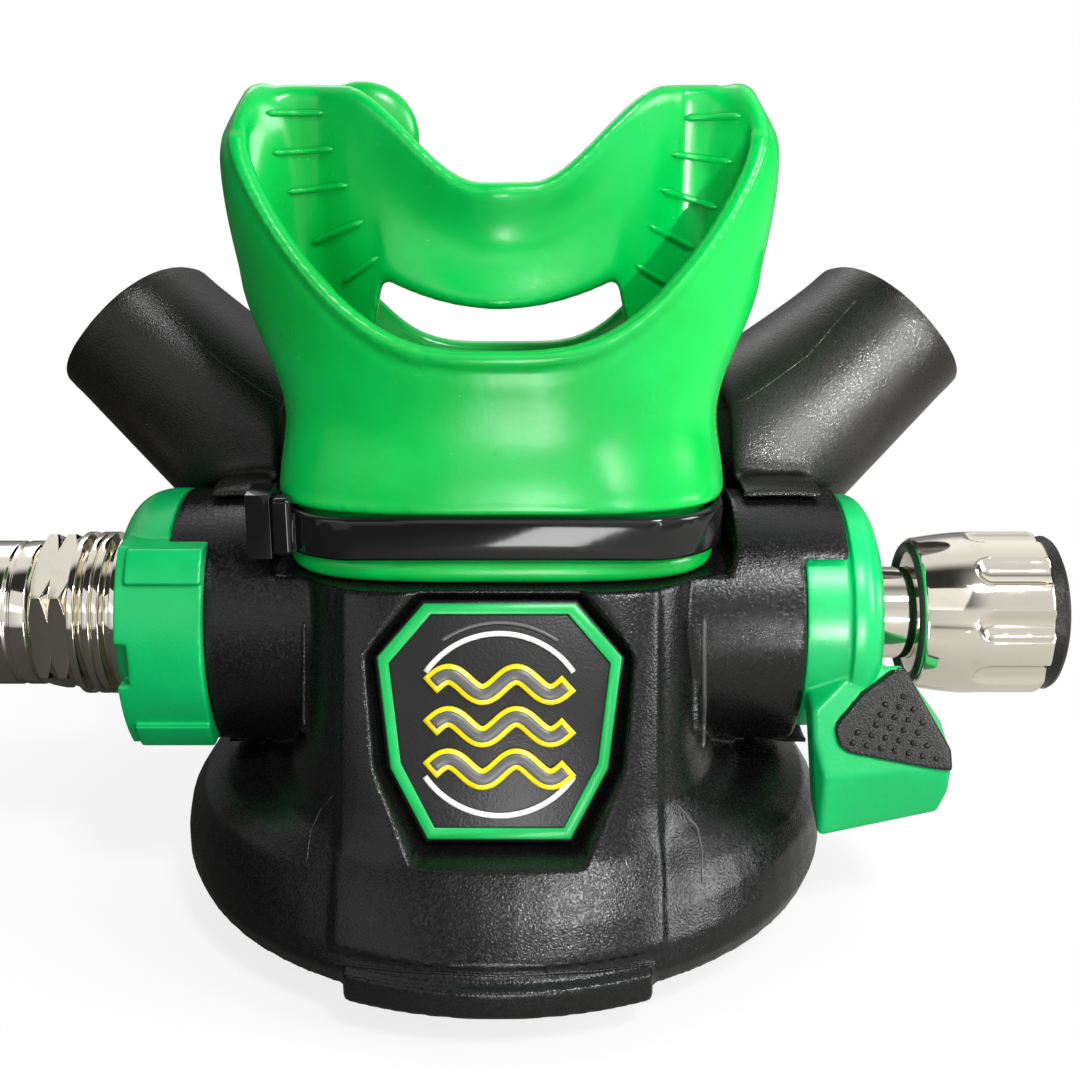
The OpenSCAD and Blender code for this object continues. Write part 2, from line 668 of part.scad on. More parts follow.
module knob_shell() {
    difference() {
        translate([knob_x, 0, axis_z]) rotate([0, 90, 0]) rotate_extrude($fn = 96) polygon([
            [0, 3.2], [sleeve_r + run_gap, 3.2], [sleeve_r + run_gap, 0], [knob_r - 1, 0],
            [knob_r - 0.8, 0.3], [knob_r, knob_l * 0.5], [knob_r, knob_l - 0.6],
            [knob_r - 0.6, knob_l], [0, knob_l]]);
        for (i = [0 : knob_flutes - 1]) translate([0, 0, axis_z]) rotate([360 / knob_flutes * i, 0, 0]) {
            translate([knob_x + knob_l * flute_start, 0, knob_r + flute_r - 1]) rotate([0, 90, 0])
                cylinder(h = knob_l, r = flute_r, $fn = 32);
            translate([knob_x + knob_l * flute_start, 0, knob_r + flute_r - 1])
                sphere(flute_r, $fn = 32);
        }
        o_ring(knob_ring_x, knob_ring_r, knob_ring_w + 0.05);
    }
}

module knob_ring() {
    color([0.08, 0.08, 0.08]) o_ring(knob_ring_x, knob_ring_r, knob_ring_w);
}

module knob_cap() {
    x0 = knob_x + knob_l;
    color([0.1, 0.1, 0.1]) translate([x0 + 0.02, 0, axis_z]) rotate([0, 90, 0])
        rotate_extrude($fn = 72) polygon(concat([[0, 0], [knob_r - 0.7, 0], [knob_r - 0.5, cap_l * 0.4]],
            [for (a = [15 : 15 : 75]) [(knob_r - 0.5) * cos(a * 0.9), cap_l * (0.4 + 0.6 * sin(a))]],
            [[0, cap_l]]));
}

// The paddle hangs from the ring on the badge side, below the axis: corners of its sloping front
// face, the corners of the facet below it, and the outline of the grip seen from the front
paddle_face = [[40.8, -12.5, axis_z - 2.8], [46.1, -11.5, axis_z - 3], [51, -15.6, axis_z - 11.3],
    [51, -16.6, axis_z - 12.8], [36.9, -19.5, axis_z - 12.4], [36, -17.6, axis_z - 8.9],
    [36, -15.9, axis_z - 6.2]];
paddle_foot = [[50.9, -16.3, axis_z - 15.6], [50.1, -16, axis_z - 18], [36.9, -18.8, axis_z - 19.4]];
grip_outline = [[41.3, -4.5], [45.2, -2.6], [47.6, -2.4], [51.2, -8.6], [53, -11.3], [53, -13.2],
    [39.4, -9.9], [38.3, -9.1], [38, -7.9], [38.1, -7.2]];
edge_r = 0.7;
paddle_back = [0, paddle_t, paddle_t * 0.35];
module slab(points) {
    hull() for (p = points) translate(p) sphere(edge_r, $fn = 12);
}

module venturi_lever() {
    color([0.02, 0.68, 0.28]) difference() {
        union() {
            domed_ring(ring_x0, ring_x, lever_ring_r, sleeve_r + free_gap, lever_end_r);
            difference() {
                along_x(hub_x, ring_x0 + 0.5, hub_r);
                along_x(hub_x - 1, ring_x0, bore_r);
            }
            slab(concat(paddle_face, paddle_foot,
                [for (p = paddle_foot) p + paddle_back], [for (i = [2 : 6]) paddle_face[i] + paddle_back]));
        }
        grip_body();
        along_x(hub_x - 12, ring_x0, bore_r);
        along_x(30, ring_x + 4, sleeve_r + run_gap);
    }
}

module grip_body() {
    intersection() {
        slab([for (p = paddle_face) p + [0, -0.4, 0.3]]);
        translate([0, 0, axis_z]) rotate([90, 0, 0]) linear_extrude(40) polygon(grip_outline);
    }
}

module lever_grip() {
    color([0.1, 0.1, 0.1]) grip_body();
}

module venturi_vane() {
    color([0.12, 0.12, 0.13]) union() {
        ring_x(15, ring_x0 - 0.3, vane_out, vane_in + 0.2);
        intersection() {
            ring_x(-9, 15.5, vane_out + 1, vane_in + 0.6);
            translate([-12, 0, axis_z]) cube([30, 16, 14]);
        }
    }
}

// Half width, half depth, squareness and height of the mouthpiece's outer skin at step t and angle q
function rim_z_at(q) = let (c = abs(cos(q)), s = sin(q),
    front = seg(rim_front_z, rim_end_z, pow(c, 2.8)), back = seg(rim_back_z, rim_end_z, pow(c, 4)))
    s < 0 ? front : seg(front, back, smooth(clamp(s * 1.6)));
function skin_hw(z) = z < waist_z
    ? seg(bead_hw + 0.9, bead_hw, smooth(clamp((z - brow_z) / (waist_z - brow_z))))
    : z < flare_z ? seg(bead_hw, flange_hw - 1.5, smooth((z - waist_z) / (flare_z - waist_z)))
    : seg(flange_hw - 1.5, flange_hw, sin(90 * clamp((z - flare_z) / 12)))
        - 4 * pow(clamp((z - 88) / 8), 2);
function skin_hd(z) = z < waist_z
    ? seg(bead_hd + 0.6, bead_hd, smooth(clamp((z - brow_z) / (waist_z - brow_z))))
    : bead_hd + 2.6 * smooth(clamp((z - waist_z) / 16));
function skin_n(z) = seg(3.6, 2.15, smooth(clamp((z - brow_z) / 22)));
function skin_point(z, q, inset) =
    let (p = se(skin_hw(z) - inset, skin_hd(z) - inset, skin_n(z), q)) [p[0], p[1], z];
sleeve_rings = [[bead_z, -0.8], [bead_z + 0.7, 0], [bead_z + 2, 0], [groove_z0, -0.9],
    [groove_z1, -0.9], [groove_z1 + 0.1, 0.9]];

module mouthpiece() {
    n = 72;
    steps = 9;
    sleeve = [for (r = sleeve_rings, j = [0 : n - 1])
        let (p = se(bead_hw + r[1], bead_hd + r[1] * 0.8, neck_n, 360 * j / n)) [p[0], p[1], r[0]]];
    outer = [for (i = [0 : steps], j = [0 : n - 1]) let (q = 360 * j / n,
        z = seg(brow_z, rim_z_at(q) - 1.2, i / steps)) skin_point(z, q, 0)];
    // The rim is rolled into a bead that stands out by a third of a wall
    rim = [for (a = [-50 : 50 : 230], j = [0 : n - 1]) let (q = 360 * j / n, z = rim_z_at(q),
        bead = skin * 0.56, p = skin_point(z, q, skin / 2 - bead * cos(a))) [p[0], p[1], z + bead * sin(a)]];
    inner = [for (i = [steps : -1 : 0], j = [0 : n - 1]) let (q = 360 * j / n,
        z = seg(neck_z + 2, rim_z_at(q) - 1.2, i / steps)) skin_point(z, q, skin)];
    bore = [for (z = [neck_z + 0.4, bead_z], j = [0 : n - 1])
        let (p = se(neck_hw + free_gap, neck_hd + free_gap, neck_n, 360 * j / n)) [p[0], p[1], z]];
    pts = concat(sleeve, outer, rim, inner, bore);
    color([0.02, 0.7, 0.28]) union() {
        polyhedron(pts, loop_faces(len(pts) / n, n), convexity = 10);
        bite_plate();
        for (s = [-1, 1], i = [0 : 4]) bite_ridge(s, i);
    }
}

// Plate between the teeth: two bite tabs joined by a bridge that arches to the palate
plate_in = 14;
bridge_z = 86.2;
bridge_out = 8.6;
function plate_y(x) = -bridge_out * (1 - pow(clamp(abs(x) / (plate_in + 6)), 1.8));
function plate_top(x) = seg(bridge_z, rim_end_z + 0.6, smooth(clamp((abs(x) - 2) / 15)));
function plate_low(x) = abs(x) < plate_in - 0.4 ? 72.6 + 2.8 * pow(x / 13, 2) : 69.6;
module bite_plate() {
    xs = [-28.2, -25.4, -22.6, -20, -17.4, -15.6, -14.1, -13.5, -11, -8.4, -5.8, -3, 0,
        3, 5.8, 8.4, 11, 13.5, 14.1, 15.6, 17.4, 20, 22.6, 25.4, 28.2];
    vs = [0, 0.25, 0.5, 0.75, 1];
    m = len(vs);
    th = 1.5;
    function side(x, lift) = [for (v = vs) let (z0 = max(plate_low(x), 69.6 + 0.9 * max(0, abs(x) - 17.4)
        + 0.12 * pow(max(0, abs(x) - 17.4), 2)), z1 = plate_top(x))
        [x, plate_y(x) + lift, seg(z0, z1, v)]];
    pts = [for (x = xs) each concat(side(x, -th), [for (i = [m - 1 : -1 : 0]) side(x, th)[i]])];
    polyhedron(pts, concat([for (f = tube_faces(len(xs), 2 * m)) [f[0], f[2], f[1]]],
        end_cap(0, 2 * m, false), end_cap((len(xs) - 1) * 2 * m, 2 * m, true)), convexity = 10);
}

// Ridges that the teeth grip, fanned round the arch
ridge_in = [[-20.6, 93], [-19.3, 88.8], [-17.8, 84.8], [-16.2, 81], [-14.6, 77.4]];
ridge_out = [[-27.2, 92.6], [-26.2, 87], [-24.2, 81.6], [-21.6, 77.4], [-18.6, 74]];
module bite_ridge(s, i) {
    hull() for (p = [ridge_in[i], ridge_out[i]])
        translate([s * -p[0], plate_y(p[0]) - 1.5, p[1]]) sphere(0.75, $fn = 10);
}

module tie_band() {
    z = groove_z0 + 0.2;
    color([0.06, 0.06, 0.07]) difference() {
        translate([0, 0, z]) linear_extrude(tie_w) rounded_rect(bead_hw + 0.6, bead_hd + 0.7, 9.4);
        translate([0, 0, z - 1]) linear_extrude(tie_w + 2)
            rounded_rect(bead_hw - 0.55, bead_hd - 0.45, 8.4);
    }
}

module tie_head() {
    color([0.06, 0.06, 0.07]) difference() {
        union() {
            translate([-head_x - head_w, head_y, head_z]) cube([head_w, head_d, head_h]);
            // Tongue that reaches the band where it turns the corner
            difference() {
                translate([-head_x - 0.5, head_y + 0.8, groove_z0 + 0.4])
                    cube([3.4, head_d - 0.8, tie_w - 0.4]);
                translate([0, 0, groove_z0]) linear_extrude(tie_w + 1)
                    rounded_rect(bead_hw + 0.64, bead_hd + 0.74, 9.4);
            }
        }
        translate([-head_x - head_w - 1, head_y + 1.6, head_z + 1.6]) cube([2, 2.2, 4.6]);
    }
}

// Centre line and half sizes of one wing of the tee, from the chamber to the outlet
function wing_c(t) = [seg(12, outlet_x, t), seg(17.5, 21, t), seg(33, outlet_z, pow(t, 1.05))];
function wing_w(t) = seg(15.5, outlet_r, pow(t, 0.8));
function wing_d(t) = seg(15, 12.2, t);
wing_rise = 42;
lean = 0.32;
module wing(inset, t1) {
    n = 40;
    steps = 8;
    dir = [cos(wing_rise), 0, sin(wing_rise)];
    side = [-sin(wing_rise), 0, cos(wing_rise)];
    pts = [for (i = [0 : steps], j = [0 : n - 1]) let (t = t1 * i / steps, q = 360 * j / n,
        p = se(wing_w(t) - inset, wing_d(t) - inset, 2.3, q), c = wing_c(t))
        [c[0] + side[0] * p[0] - dir[0] * p[1] * lean * t, c[1] + p[1],
            c[2] + side[2] * p[0] - dir[2] * p[1] * lean * t]];
    polyhedron(pts, concat([for (f = tube_faces(steps + 1, n)) [f[0], f[2], f[1]]],
        end_cap(0, n, false), end_cap(steps * n, n, true)), convexity = 6);
}

module tee_chamber(inset) {
    hull() {
        for (s = [-1, 1]) translate([s * (33 - inset - 4), 3 + 4 + inset, exhaust_z + 15 - inset])
            rotate([-90, 0, 0]) cylinder(h = 20 - 2 * inset, r = 4, $fn = 24);
        for (s = [-1, 1]) translate([s * (24 - inset - 4), 3 + 4 + inset, exhaust_z - 12 + inset])
            rotate([-90, 0, 0]) cylinder(h = 23 - 2 * inset, r = 4, $fn = 24);
    }
}

module exhaust_tee() {
    color([0.1, 0.1, 0.1]) difference() {
        union() {
            wing(0, 1);
            mirror([1, 0, 0]) wing(0, 1);
            tee_chamber(0);
            intersection() {
                along_x(-tube_left + 3, tube_right - 3.4, tube_r + free_gap + 1.2, fn = 72);
                translate([-tube_left, skirt_y, 0]) cube([tube_left + tube_right, 60, 100]);
            }
        }
        wing(tee_wall, 1.02);
        mirror([1, 0, 0]) wing(tee_wall, 1.02);
        tee_chamber(tee_wall);
        // Room for the case
        along_x(-60, 60, tube_r + free_gap, fn = 72);
        case_body(free_gap);
        translate([-tower_hw - 0.3, -10, rim_z]) cube([2 * tower_hw + 0.6, tower_back + 10.3, 60]);
        translate([0, 0, exhaust_z]) rotate([-90, 0, 0])
            cylinder(h = exhaust_y + 1.5, r = exhaust_seat_r + free_gap, $fn = 72);
        translate([0, 0, tower_z - 2]) linear_extrude(60) rounded_rect(bead_hw + 2.4, bead_hd + 1.8, 9);
        translate([0, 0, waist_z]) linear_extrude(60) rounded_rect(bead_hw + 3.8, bead_hd + 3.4, 12);
    }
}

module exhaust_valve() {
    color([0.75, 0.77, 0.78]) translate([0, exhaust_y + 0.1, exhaust_z]) rotate([-90, 0, 0]) union() {
        rotate_extrude($fn = 72)
            polygon([[0, 0], [exhaust_flap_r, 0], [exhaust_flap_r, 0.5], [3, 1.3], [0, 1.3]]);
        translate([0, 0, -5]) cylinder(h = 5.5, r = 1, $fn = 24);
    }
}

module badge_plate() {
    color([0.08, 0.08, 0.08]) badge_place() translate([0, 0, -badge_t + 0.02])
        linear_extrude(badge_t) pocket_outline(0.4);
}

module badge_frame() {
    color([0.02, 0.68, 0.28]) badge_place() translate([0, 0, 0.04]) linear_extrude(0.6) difference() {
        pocket_outline(0);
        translate([0, -badge_l * 0.0465]) scale(0.907) pocket_outline(0);
    }
}

// Three wavy bars over each other, between two arcs
module badge_motif() {
    color([0.95, 0.8, 0.05]) badge_place() translate([0, 0, 0.04]) linear_extrude(0.5)
        for (k = [0 : 2]) translate([0, -8.2 - 4.6 * k]) polygon(concat(
            [for (i = [-12 : 12]) [i * 0.62, 1.1 * sin(i * 30)]],
            [for (i = [12 : -1 : -12]) [i * 0.62, 1.1 * sin(i * 30) - 1.3]]));
}

case();
front_cover();
purge_button();
purge_spring();
clamp_ring();
diaphragm();
diaphragm_disc();
demand_lever();
valve_barrel();
valve_orifice();
orifice_o_ring();
poppet();
poppet_seat();
poppet_spring();
adjuster_screw();
adjuster_sleeve();
sleeve_o_ring();
heat_exchanger();
inlet_o_ring();
inlet_clip();
swivel_nut();
hose_ferrule();
hose_o_ring();
knob();
knob_ring();
knob_cap();
venturi_lever();
lever_grip();
venturi_vane();
mouthpiece();
tie_band();
tie_head();
exhaust_tee();
exhaust_valve();
badge_plate();
badge_frame();
badge_motif();
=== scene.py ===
import json
import math

import bmesh
import bpy
from mathutils import Matrix, Vector
from mathutils.bvhtree import BVHTree

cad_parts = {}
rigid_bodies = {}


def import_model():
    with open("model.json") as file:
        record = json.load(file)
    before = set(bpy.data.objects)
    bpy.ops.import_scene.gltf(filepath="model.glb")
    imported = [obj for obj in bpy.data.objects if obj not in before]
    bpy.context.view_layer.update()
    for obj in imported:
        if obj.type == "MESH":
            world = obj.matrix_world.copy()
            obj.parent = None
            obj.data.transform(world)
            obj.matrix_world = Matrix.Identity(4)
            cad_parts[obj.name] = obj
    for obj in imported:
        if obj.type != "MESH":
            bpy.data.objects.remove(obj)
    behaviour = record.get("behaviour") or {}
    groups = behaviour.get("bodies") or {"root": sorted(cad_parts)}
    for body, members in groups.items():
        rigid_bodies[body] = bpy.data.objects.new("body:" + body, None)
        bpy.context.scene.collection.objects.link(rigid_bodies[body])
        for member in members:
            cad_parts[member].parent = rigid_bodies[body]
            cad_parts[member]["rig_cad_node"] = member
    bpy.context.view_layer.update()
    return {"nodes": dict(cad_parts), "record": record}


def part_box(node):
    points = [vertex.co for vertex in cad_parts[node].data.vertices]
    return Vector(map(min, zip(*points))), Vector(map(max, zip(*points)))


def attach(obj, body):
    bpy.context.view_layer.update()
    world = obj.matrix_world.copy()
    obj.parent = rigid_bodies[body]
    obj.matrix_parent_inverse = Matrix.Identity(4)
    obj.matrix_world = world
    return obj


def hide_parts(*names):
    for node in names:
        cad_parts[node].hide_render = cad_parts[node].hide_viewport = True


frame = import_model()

MM = 0.001

# ---------------------------------------------------------------- camera

CAMERA_AT = Vector((4.43, -168.45, 98.05)) * MM
CAMERA_DOWN = math.radians(18)
FOCAL_PX = 1463
FRAME_PX = 1080

camera_data = bpy.data.cameras.new("camera")
camera_data.sensor_width = 36
camera_data.lens = 36 * FOCAL_PX / FRAME_PX
camera_data.clip_start = 0.01
camera_data.clip_end = 20
camera = bpy.data.objects.new("camera", camera_data)
camera.location = CAMERA_AT
camera.rotation_euler = (math.pi / 2 - CAMERA_DOWN, 0, 0)
bpy.context.scene.collection.objects.link(camera)
bpy.context.scene.camera = camera
bpy.context.scene.view_settings.view_transform = "Standard"


def sight_line(px, py):
    """Direction from the camera through a point of the 1080 px frame."""
    forward = Vector((0, math.cos(CAMERA_DOWN), -math.sin(CAMERA_DOWN)))
    up = Vector((0, math.sin(CAMERA_DOWN), math.cos(CAMERA_DOWN)))
    half = FRAME_PX / 2
    return (forward + Vector((1, 0, 0)) * ((px - half) / FOCAL_PX)
            + up * ((half - py) / FOCAL_PX)).normalized()


# ---------------------------------------------------------------- sizes, in millimetres

AXIS_Z = 34
KNOB_RING_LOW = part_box("knob_ring")[0].x / MM
KNOB_X0 = KNOB_RING_LOW + 0.45
KNOB_X1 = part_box("knob")[1].x / MM
KNOB_SPINDLE_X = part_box("knob")[0].x / MM
KNOB_R = 9.9
FIN_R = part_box("heat_exchanger")[1].y / MM
NUT_X0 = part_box("swivel_nut")[0].x / MM
FERRULE_X0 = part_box("hose_ferrule")[0].x / MM
FERRULE_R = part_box("hose_ferrule")[1].y / MM

# Mouthpiece: heights of its bead, groove, brow, waist, flare and rim, half sizes of its skin,
# radii of its bead and of its rolled rim, and its bite plate
BEAD_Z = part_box("mouthpiece")[0].z / MM
GROOVE_Z0 = BEAD_Z + 2.7
GROOVE_Z1 = GROOVE_Z0 + 5.4
BROW_Z = GROOVE_Z1 + 0.7
NECK_Z, WAIST_Z, FLARE_Z = 57, 60, 76
NECK_HW, NECK_HD = 21.7, 13.1
BEAD_HW, BEAD_HD, SLEEVE_SQUARE = 24.8, 15.8, 3.8
FLANGE_HW = 31
RIM_FRONT_Z, RIM_BACK_Z, RIM_END_Z = 68.5, 63.7, 95.4
RIM_FRONT_POWER, RIM_BACK_POWER = 2.8, 2.75
BEAD_R, ROLL_R, ROLL_IN = 1.35, 1.1, 0.85
SKIN = 1.9
PLATE_HALF = 1.5
PLATE_IN, BRIDGE_Z, BRIDGE_OUT = 14, 86.2, 8.6
BRIDGE_LOW_Z, TAB_LOW_Z = 72.6, 69.6

# Where the flange narrows again below its top, over what height and how far
TUCK_Z, TUCK_SPAN, TUCK_IN = 88, 8, 4
# Where the upper corners of the flange begin
CORNER_X, CORNER_Z = 24, 91
# Lobes at the upper ends of the bite tabs: centre and half sizes
LOBES = (((-15.5, 2.6, 90.4), (6.4, 2.2, 6.0)), ((18.5, 2.2, 89.6), (5.6, 2.2, 5.8)))
# Ridges across the bite tabs: width and height
RIDGE_W, RIDGE_H = 0.8, 0.55

# Lug beside the strap's head: its size, and its middle from the head's low corner
LUG_SIZE, LUG_X, LUG_Y = (2.2, 2.6, 6.6), 3.9, 1.1

# Tee: foot and outlet of a wing, its rise and lean, and its half sizes at foot and outlet
WING_FOOT = (12, 17.5, 33)
OUTLET = (47.5, 21, 65.5)
WING_RISE = math.radians(42)
WING_LEAN = 0.32
WING_WIDE, WING_DEEP, WING_SQUARE = (15.5, 10.4), (15, 12.2), 2.3
# How much further the right wing reaches than the left, and over which x it does so
RIGHT_REACH, REACH_X0, REACH_SPAN = 1.8, 22, 16
# Stop inside a wing: its inset from the skin, and the shares of the wing it spans
STOP_INSET, STOP_FROM, STOP_TO = 0.9, 0.2, 0.6
# How far the skin of the tee may give way where it is smoothed, well under its wall
TEE_GIVE = 0.6
# Length at an outlet that is left unsmoothed, and that is stretched before the cut
END_PLAIN, END_STRETCHED = 1.6, 1.3
# Room the tee leaves for the mouthpiece, the tower and the cross tube
TOWER_TOP_Z, TUBE_CLEAR = 47, 15.6
SLEEVE_CLEAR, TOWER_CLEAR = (28.6, 19.2), (23, 19.4)

# Studs of the grip
STUD_R = 0.36

# Badge: place of its top edge, slope, half width and length, and how its border runs
BADGE_AT = (0, -17.6, 41.7)
BADGE_SLOPE = 21.4
BADGE_HW, BADGE_L = 13.4, 25.6
BORDER_SCALE, BORDER_DROP = 0.907, BADGE_L * 0.0465

# Badge motif: top wave and step between waves, rise and pace of a wave, centre of the arcs
WAVE_Y, WAVE_STEP, WAVE_RISE, WAVE_PACE = -8.85, 4.6, 1.1, 48.4
ARC_DROP = 13.2

# Heat exchanger: where its hose end, neck, seat and body lie, its fins, and its radii
INLET_X0, FIN_X1, NECK_X1, SEAT_X, BODY_X1 = -53.0, -44.8, -36, -26.2, -20
FINS_X = [(-50.8, -49.9), (-49.0, -48.1), (-47.9, -47.0), (-45.9, FIN_X1)]
INLET_R, NECK_R, BODY_R, SEAT_R, EXCHANGER_BORE = 6.6, 7.4, 8.0, 5.26, 3.4

# ---------------------------------------------------------------- lines seen on the surfaces, in pixels

RIB_RIGHT_PX = [(704, 618), (704, 660), (704, 705), (703, 748)]
RIB_LEFT_PX = [(304, 622), (304, 660), (304, 700), (304, 728)]
SEAM_RIGHT_PX = [(675, 803), (684, 812), (697, 827), (702, 850), (702, 884)]
SEAM_LEFT_PX = [(333, 795), (320, 810), (310, 832), (306, 864)]
RING_LINE_PX = [(330, 963), (400, 971), (500, 976), (600, 971), (660, 963)]
TEE_SEAM_RIGHT_PX = [(722, 408), (746, 399), (773, 381), (807, 356), (829, 331), (846, 311),
                     (857, 300)]
TEE_SEAM_LEFT_PX = [(164, 310), (190, 335), (220, 362), (252, 385), (285, 406)]
RIDGES_LEFT_PX = [((266, 113), (324, 113)), ((272, 153), (333, 149)), ((287, 192), (348, 185)),
                  ((312, 243), (363, 221)), ((343, 282), (378, 257))]
RIDGES_RIGHT_PX = [((741, 116), (684, 118)), ((732, 162), (671, 154)), ((717, 208), (660, 189)),
                   ((694, 248), (648, 225)), ((666, 284), (635, 264))]
# Points of such a line: how many pixels apart at most, and how many millimetres at least
STEP_PX, LINE_STEP = 5, 0.2
# Rows of studs on the grip: step along a row, step between rows, first stud, and the outline
GRIP_ROW_PX = (13.9, 2.6)
GRIP_RISE_PX = (4.6, -10.3)
GRIP_START_PX = (853, 743)
GRIP_CORNERS_PX = [(904, 686), (838, 744), (950, 771)]

# ---------------------------------------------------------------- shader maths


class Value:
    """A shader socket that takes part in Python arithmetic."""

    def __init__(self, tree, socket):
        self.tree = tree
        self.socket = socket

    def math(self, operation, *numbers):
        node = self.tree.nodes.new("ShaderNodeMath")
        node.operation = operation
        for slot, number in zip(node.inputs, numbers):
            if isinstance(number, Value):
                self.tree.links.new(number.socket, slot)
            else:
                slot.default_value = number
        return Value(self.tree, node.outputs[0])

    def __add__(self, other):
        return self.math("ADD", self, other)

    def __radd__(self, other):
        return self.math("ADD", other, self)

    def __sub__(self, other):
        return self.math("SUBTRACT", self, other)

    def __rsub__(self, other):
        return self.math("SUBTRACT", other, self)

    def __mul__(self, other):
        return self.math("MULTIPLY", self, other)

    def __rmul__(self, other):
        return self.math("MULTIPLY", other, self)

    def __pow__(self, other):
        return self.math("POWER", self, other)

    def __lt__(self, other):
        return self.math("LESS_THAN", self, other)

    def __abs__(self):
        return self.math("ABSOLUTE", self)

    def held(self):
        """The value kept between 0 and 1."""
        kept = self.math("MULTIPLY_ADD", self, 1, 0)
        kept.socket.node.use_clamp = True
        return kept

    def step(self, low, high):
        """Rises smoothly from 0 at low to 1 at high."""
        node = self.tree.nodes.new("ShaderNodeMapRange")
        node.interpolation_type = "SMOOTHSTEP"
        self.tree.links.new(self.socket, node.inputs["Value"])
        node.inputs["From Min"].default_value = low
        node.inputs["From Max"].default_value = high
        return Value(self.tree, node.outputs[0])


class Shading:
    """A node tree, and the one way to add nodes to it."""

    def __init__(self, tree):
        self.tree = tree

    def node(self, kind, settings=None, sockets=None, output=0):
        """Adds a node, with its settings first and then its sockets' values or links."""
        node = self.tree.nodes.new("ShaderNode" + kind)
        for name, setting in (settings or {}).items():
            setattr(node, name, setting)
        for name, value in (sockets or {}).items():
            self.feed(node.inputs[name], value)
        return Value(self.tree, node.outputs[output])

    def feed(self, slot, value):
        """Gives a socket a link or a plain value."""
        if isinstance(value, Value):
            self.tree.links.new(value.socket, slot)
        else:
            slot.default_value = value

    def vector(self, operation, a, b):
        return self.node("VectorMath", {"operation": operation}, {0: a, 1: b})

    def along(self, place, axis):
        """One coordinate of a place."""
        return self.node("SeparateXYZ", None, {0: place}, axis)


class Finish(Shading):
    """A material with one Principled shader and the nodes that vary it."""

    def __init__(self, name, **plain):
        self.material = bpy.data.materials.new(name)
        self.material.use_nodes = True
        super().__init__(self.material.node_tree)
        self.shader = self.tree.nodes["Principled BSDF"]
        self.place = self.vector("MULTIPLY", self.node("TexCoord", output="Object"), (1000,) * 3)
        for socket, number in plain.items():
            self.set(socket.replace("_", " "), number)

    def noise(self, size, detail=3.0, roughness=0.5, stretch=(1, 1, 1), at=(0, 0, 0)):
        """Cloudy pattern whose blotches are about size millimetres across."""
        spot = self.vector("MULTIPLY", self.place, stretch)
        spot = self.vector("ADD", spot, at)
        return self.node("TexNoise", None, {"Vector": spot, "Scale": 1 / size,
                                            "Detail": detail, "Roughness": roughness})

    def cells(self, size, output="Distance"):
        """Cells about size millimetres across."""
        return self.node("TexVoronoi", {"feature": "F1"}, {"Vector": self.place, "Scale": 1 / size},
                         output)

    def blend(self, factor, a, b):
        """Colour a turning to colour b."""
        a, b = [c if isinstance(c, Value) else (*c, 1) for c in (a, b)]
        return self.node("Mix", {"data_type": "RGBA"}, {0: factor, 6: a, 7: b}, output=2)

    def bump(self, height, depth):
        """Relief of height 0 to 1, depth millimetres deep."""
        return self.node("Bump", None, {"Height": height, "Distance": depth * MM})

    def set(self, socket, value):
        slot = self.shader.inputs[socket]
        if isinstance(value, tuple) and len(value) == 3 and len(slot.default_value) == 4:
            value = (*value, 1)
        self.feed(slot, value)


def scratches(finish, size, width):
    """Thin bright lines, a few to the square centimetre, that run several ways."""
    lines = 0
    for turn, stretch in enumerate(((1, 0.16, 0.35), (0.3, 1, 0.12))):
        field = finish.noise(size, 1.5, 0.4, stretch, (17 * turn, 5, 3))
        patch = finish.noise(size * 1.7, 2, 0.5, at=(31 * turn, 1, 9)).step(0.56, 0.66)
        lines = lines + (1 - abs(field - 0.5).step(0, width)) * patch
    return lines


# ---------------------------------------------------------------- finishes

def lighter(shade, lift):
    """The shade of a worn or dusty patch, and of a painted glint."""
    return tuple(c * 1.8 + lift for c in shade)


def moulded_plastic(name, shade, rough, grain, depth, wear=0.5, gloss=0.5, sparkle_and_painted_glint=0.0):
    """Satin plastic with a fine pebbled grain and light handling marks; where asked, grain cells vary
    its roughness and lighten its colour as a painted glint.
    """
    f = Finish(name, Specular_IOR_Level=gloss)
    pebble = f.noise(grain, 1, 0.5)
    glint = f.cells(grain * 1.25, "Color").step(0.3, 0.75)
    cloud = f.noise(14, 3, 0.6)
    marks = scratches(f, 8, 0.006) * wear
    # Random clouds and scratches are wear; the glint cells lighten the colour as a painted glint.
    wear_and_painted_glint = cloud.step(0.35, 0.7) * 0.25 + glint ** 3 * sparkle_and_painted_glint + marks * 0.4
    f.set("Base Color", f.blend(wear_and_painted_glint.held(), shade, lighter(shade, 0.002)))
    f.set("Roughness", (rough + (cloud - 0.5) * 0.1 + (glint - 0.5) * sparkle_and_painted_glint * 0.5
                        - marks * 0.08).held())
    f.set("Normal", f.bump(pebble + marks * 0.2, depth))
    return f.material


def soft_rubber(name, shade, rough=0.62, grain=0.5, depth=0.03, gloss=0.4):
    """Rubber with a fine grain, a faint bloom, and grain cells that lighten its colour as a painted
    glint.
    """
    f = Finish(name, Specular_IOR_Level=gloss)
    bloom = f.noise(11, 4, 0.6)
    streak = f.noise(6, 3, 0.6, (1, 0.4, 0.5), (3, 8, 1))
    skin = f.noise(grain, 2, 0.5)
    glint = f.cells(grain).step(0.2, 0.7)
    # The bloom is the rubber's own; the glint cells lighten the colour as a painted glint.
    f.set("Base Color", f.blend((bloom.step(0.4, 0.75) * 0.6 + glint * 0.4).held(), shade,
                                lighter(shade, 0.003)))
    f.set("Roughness", (rough + (bloom - 0.5) * 0.14 + (streak - 0.5) * 0.16
                        + (glint - 0.5) * 0.12).held())
    f.set("Normal", f.bump(skin, depth))
    return f.material


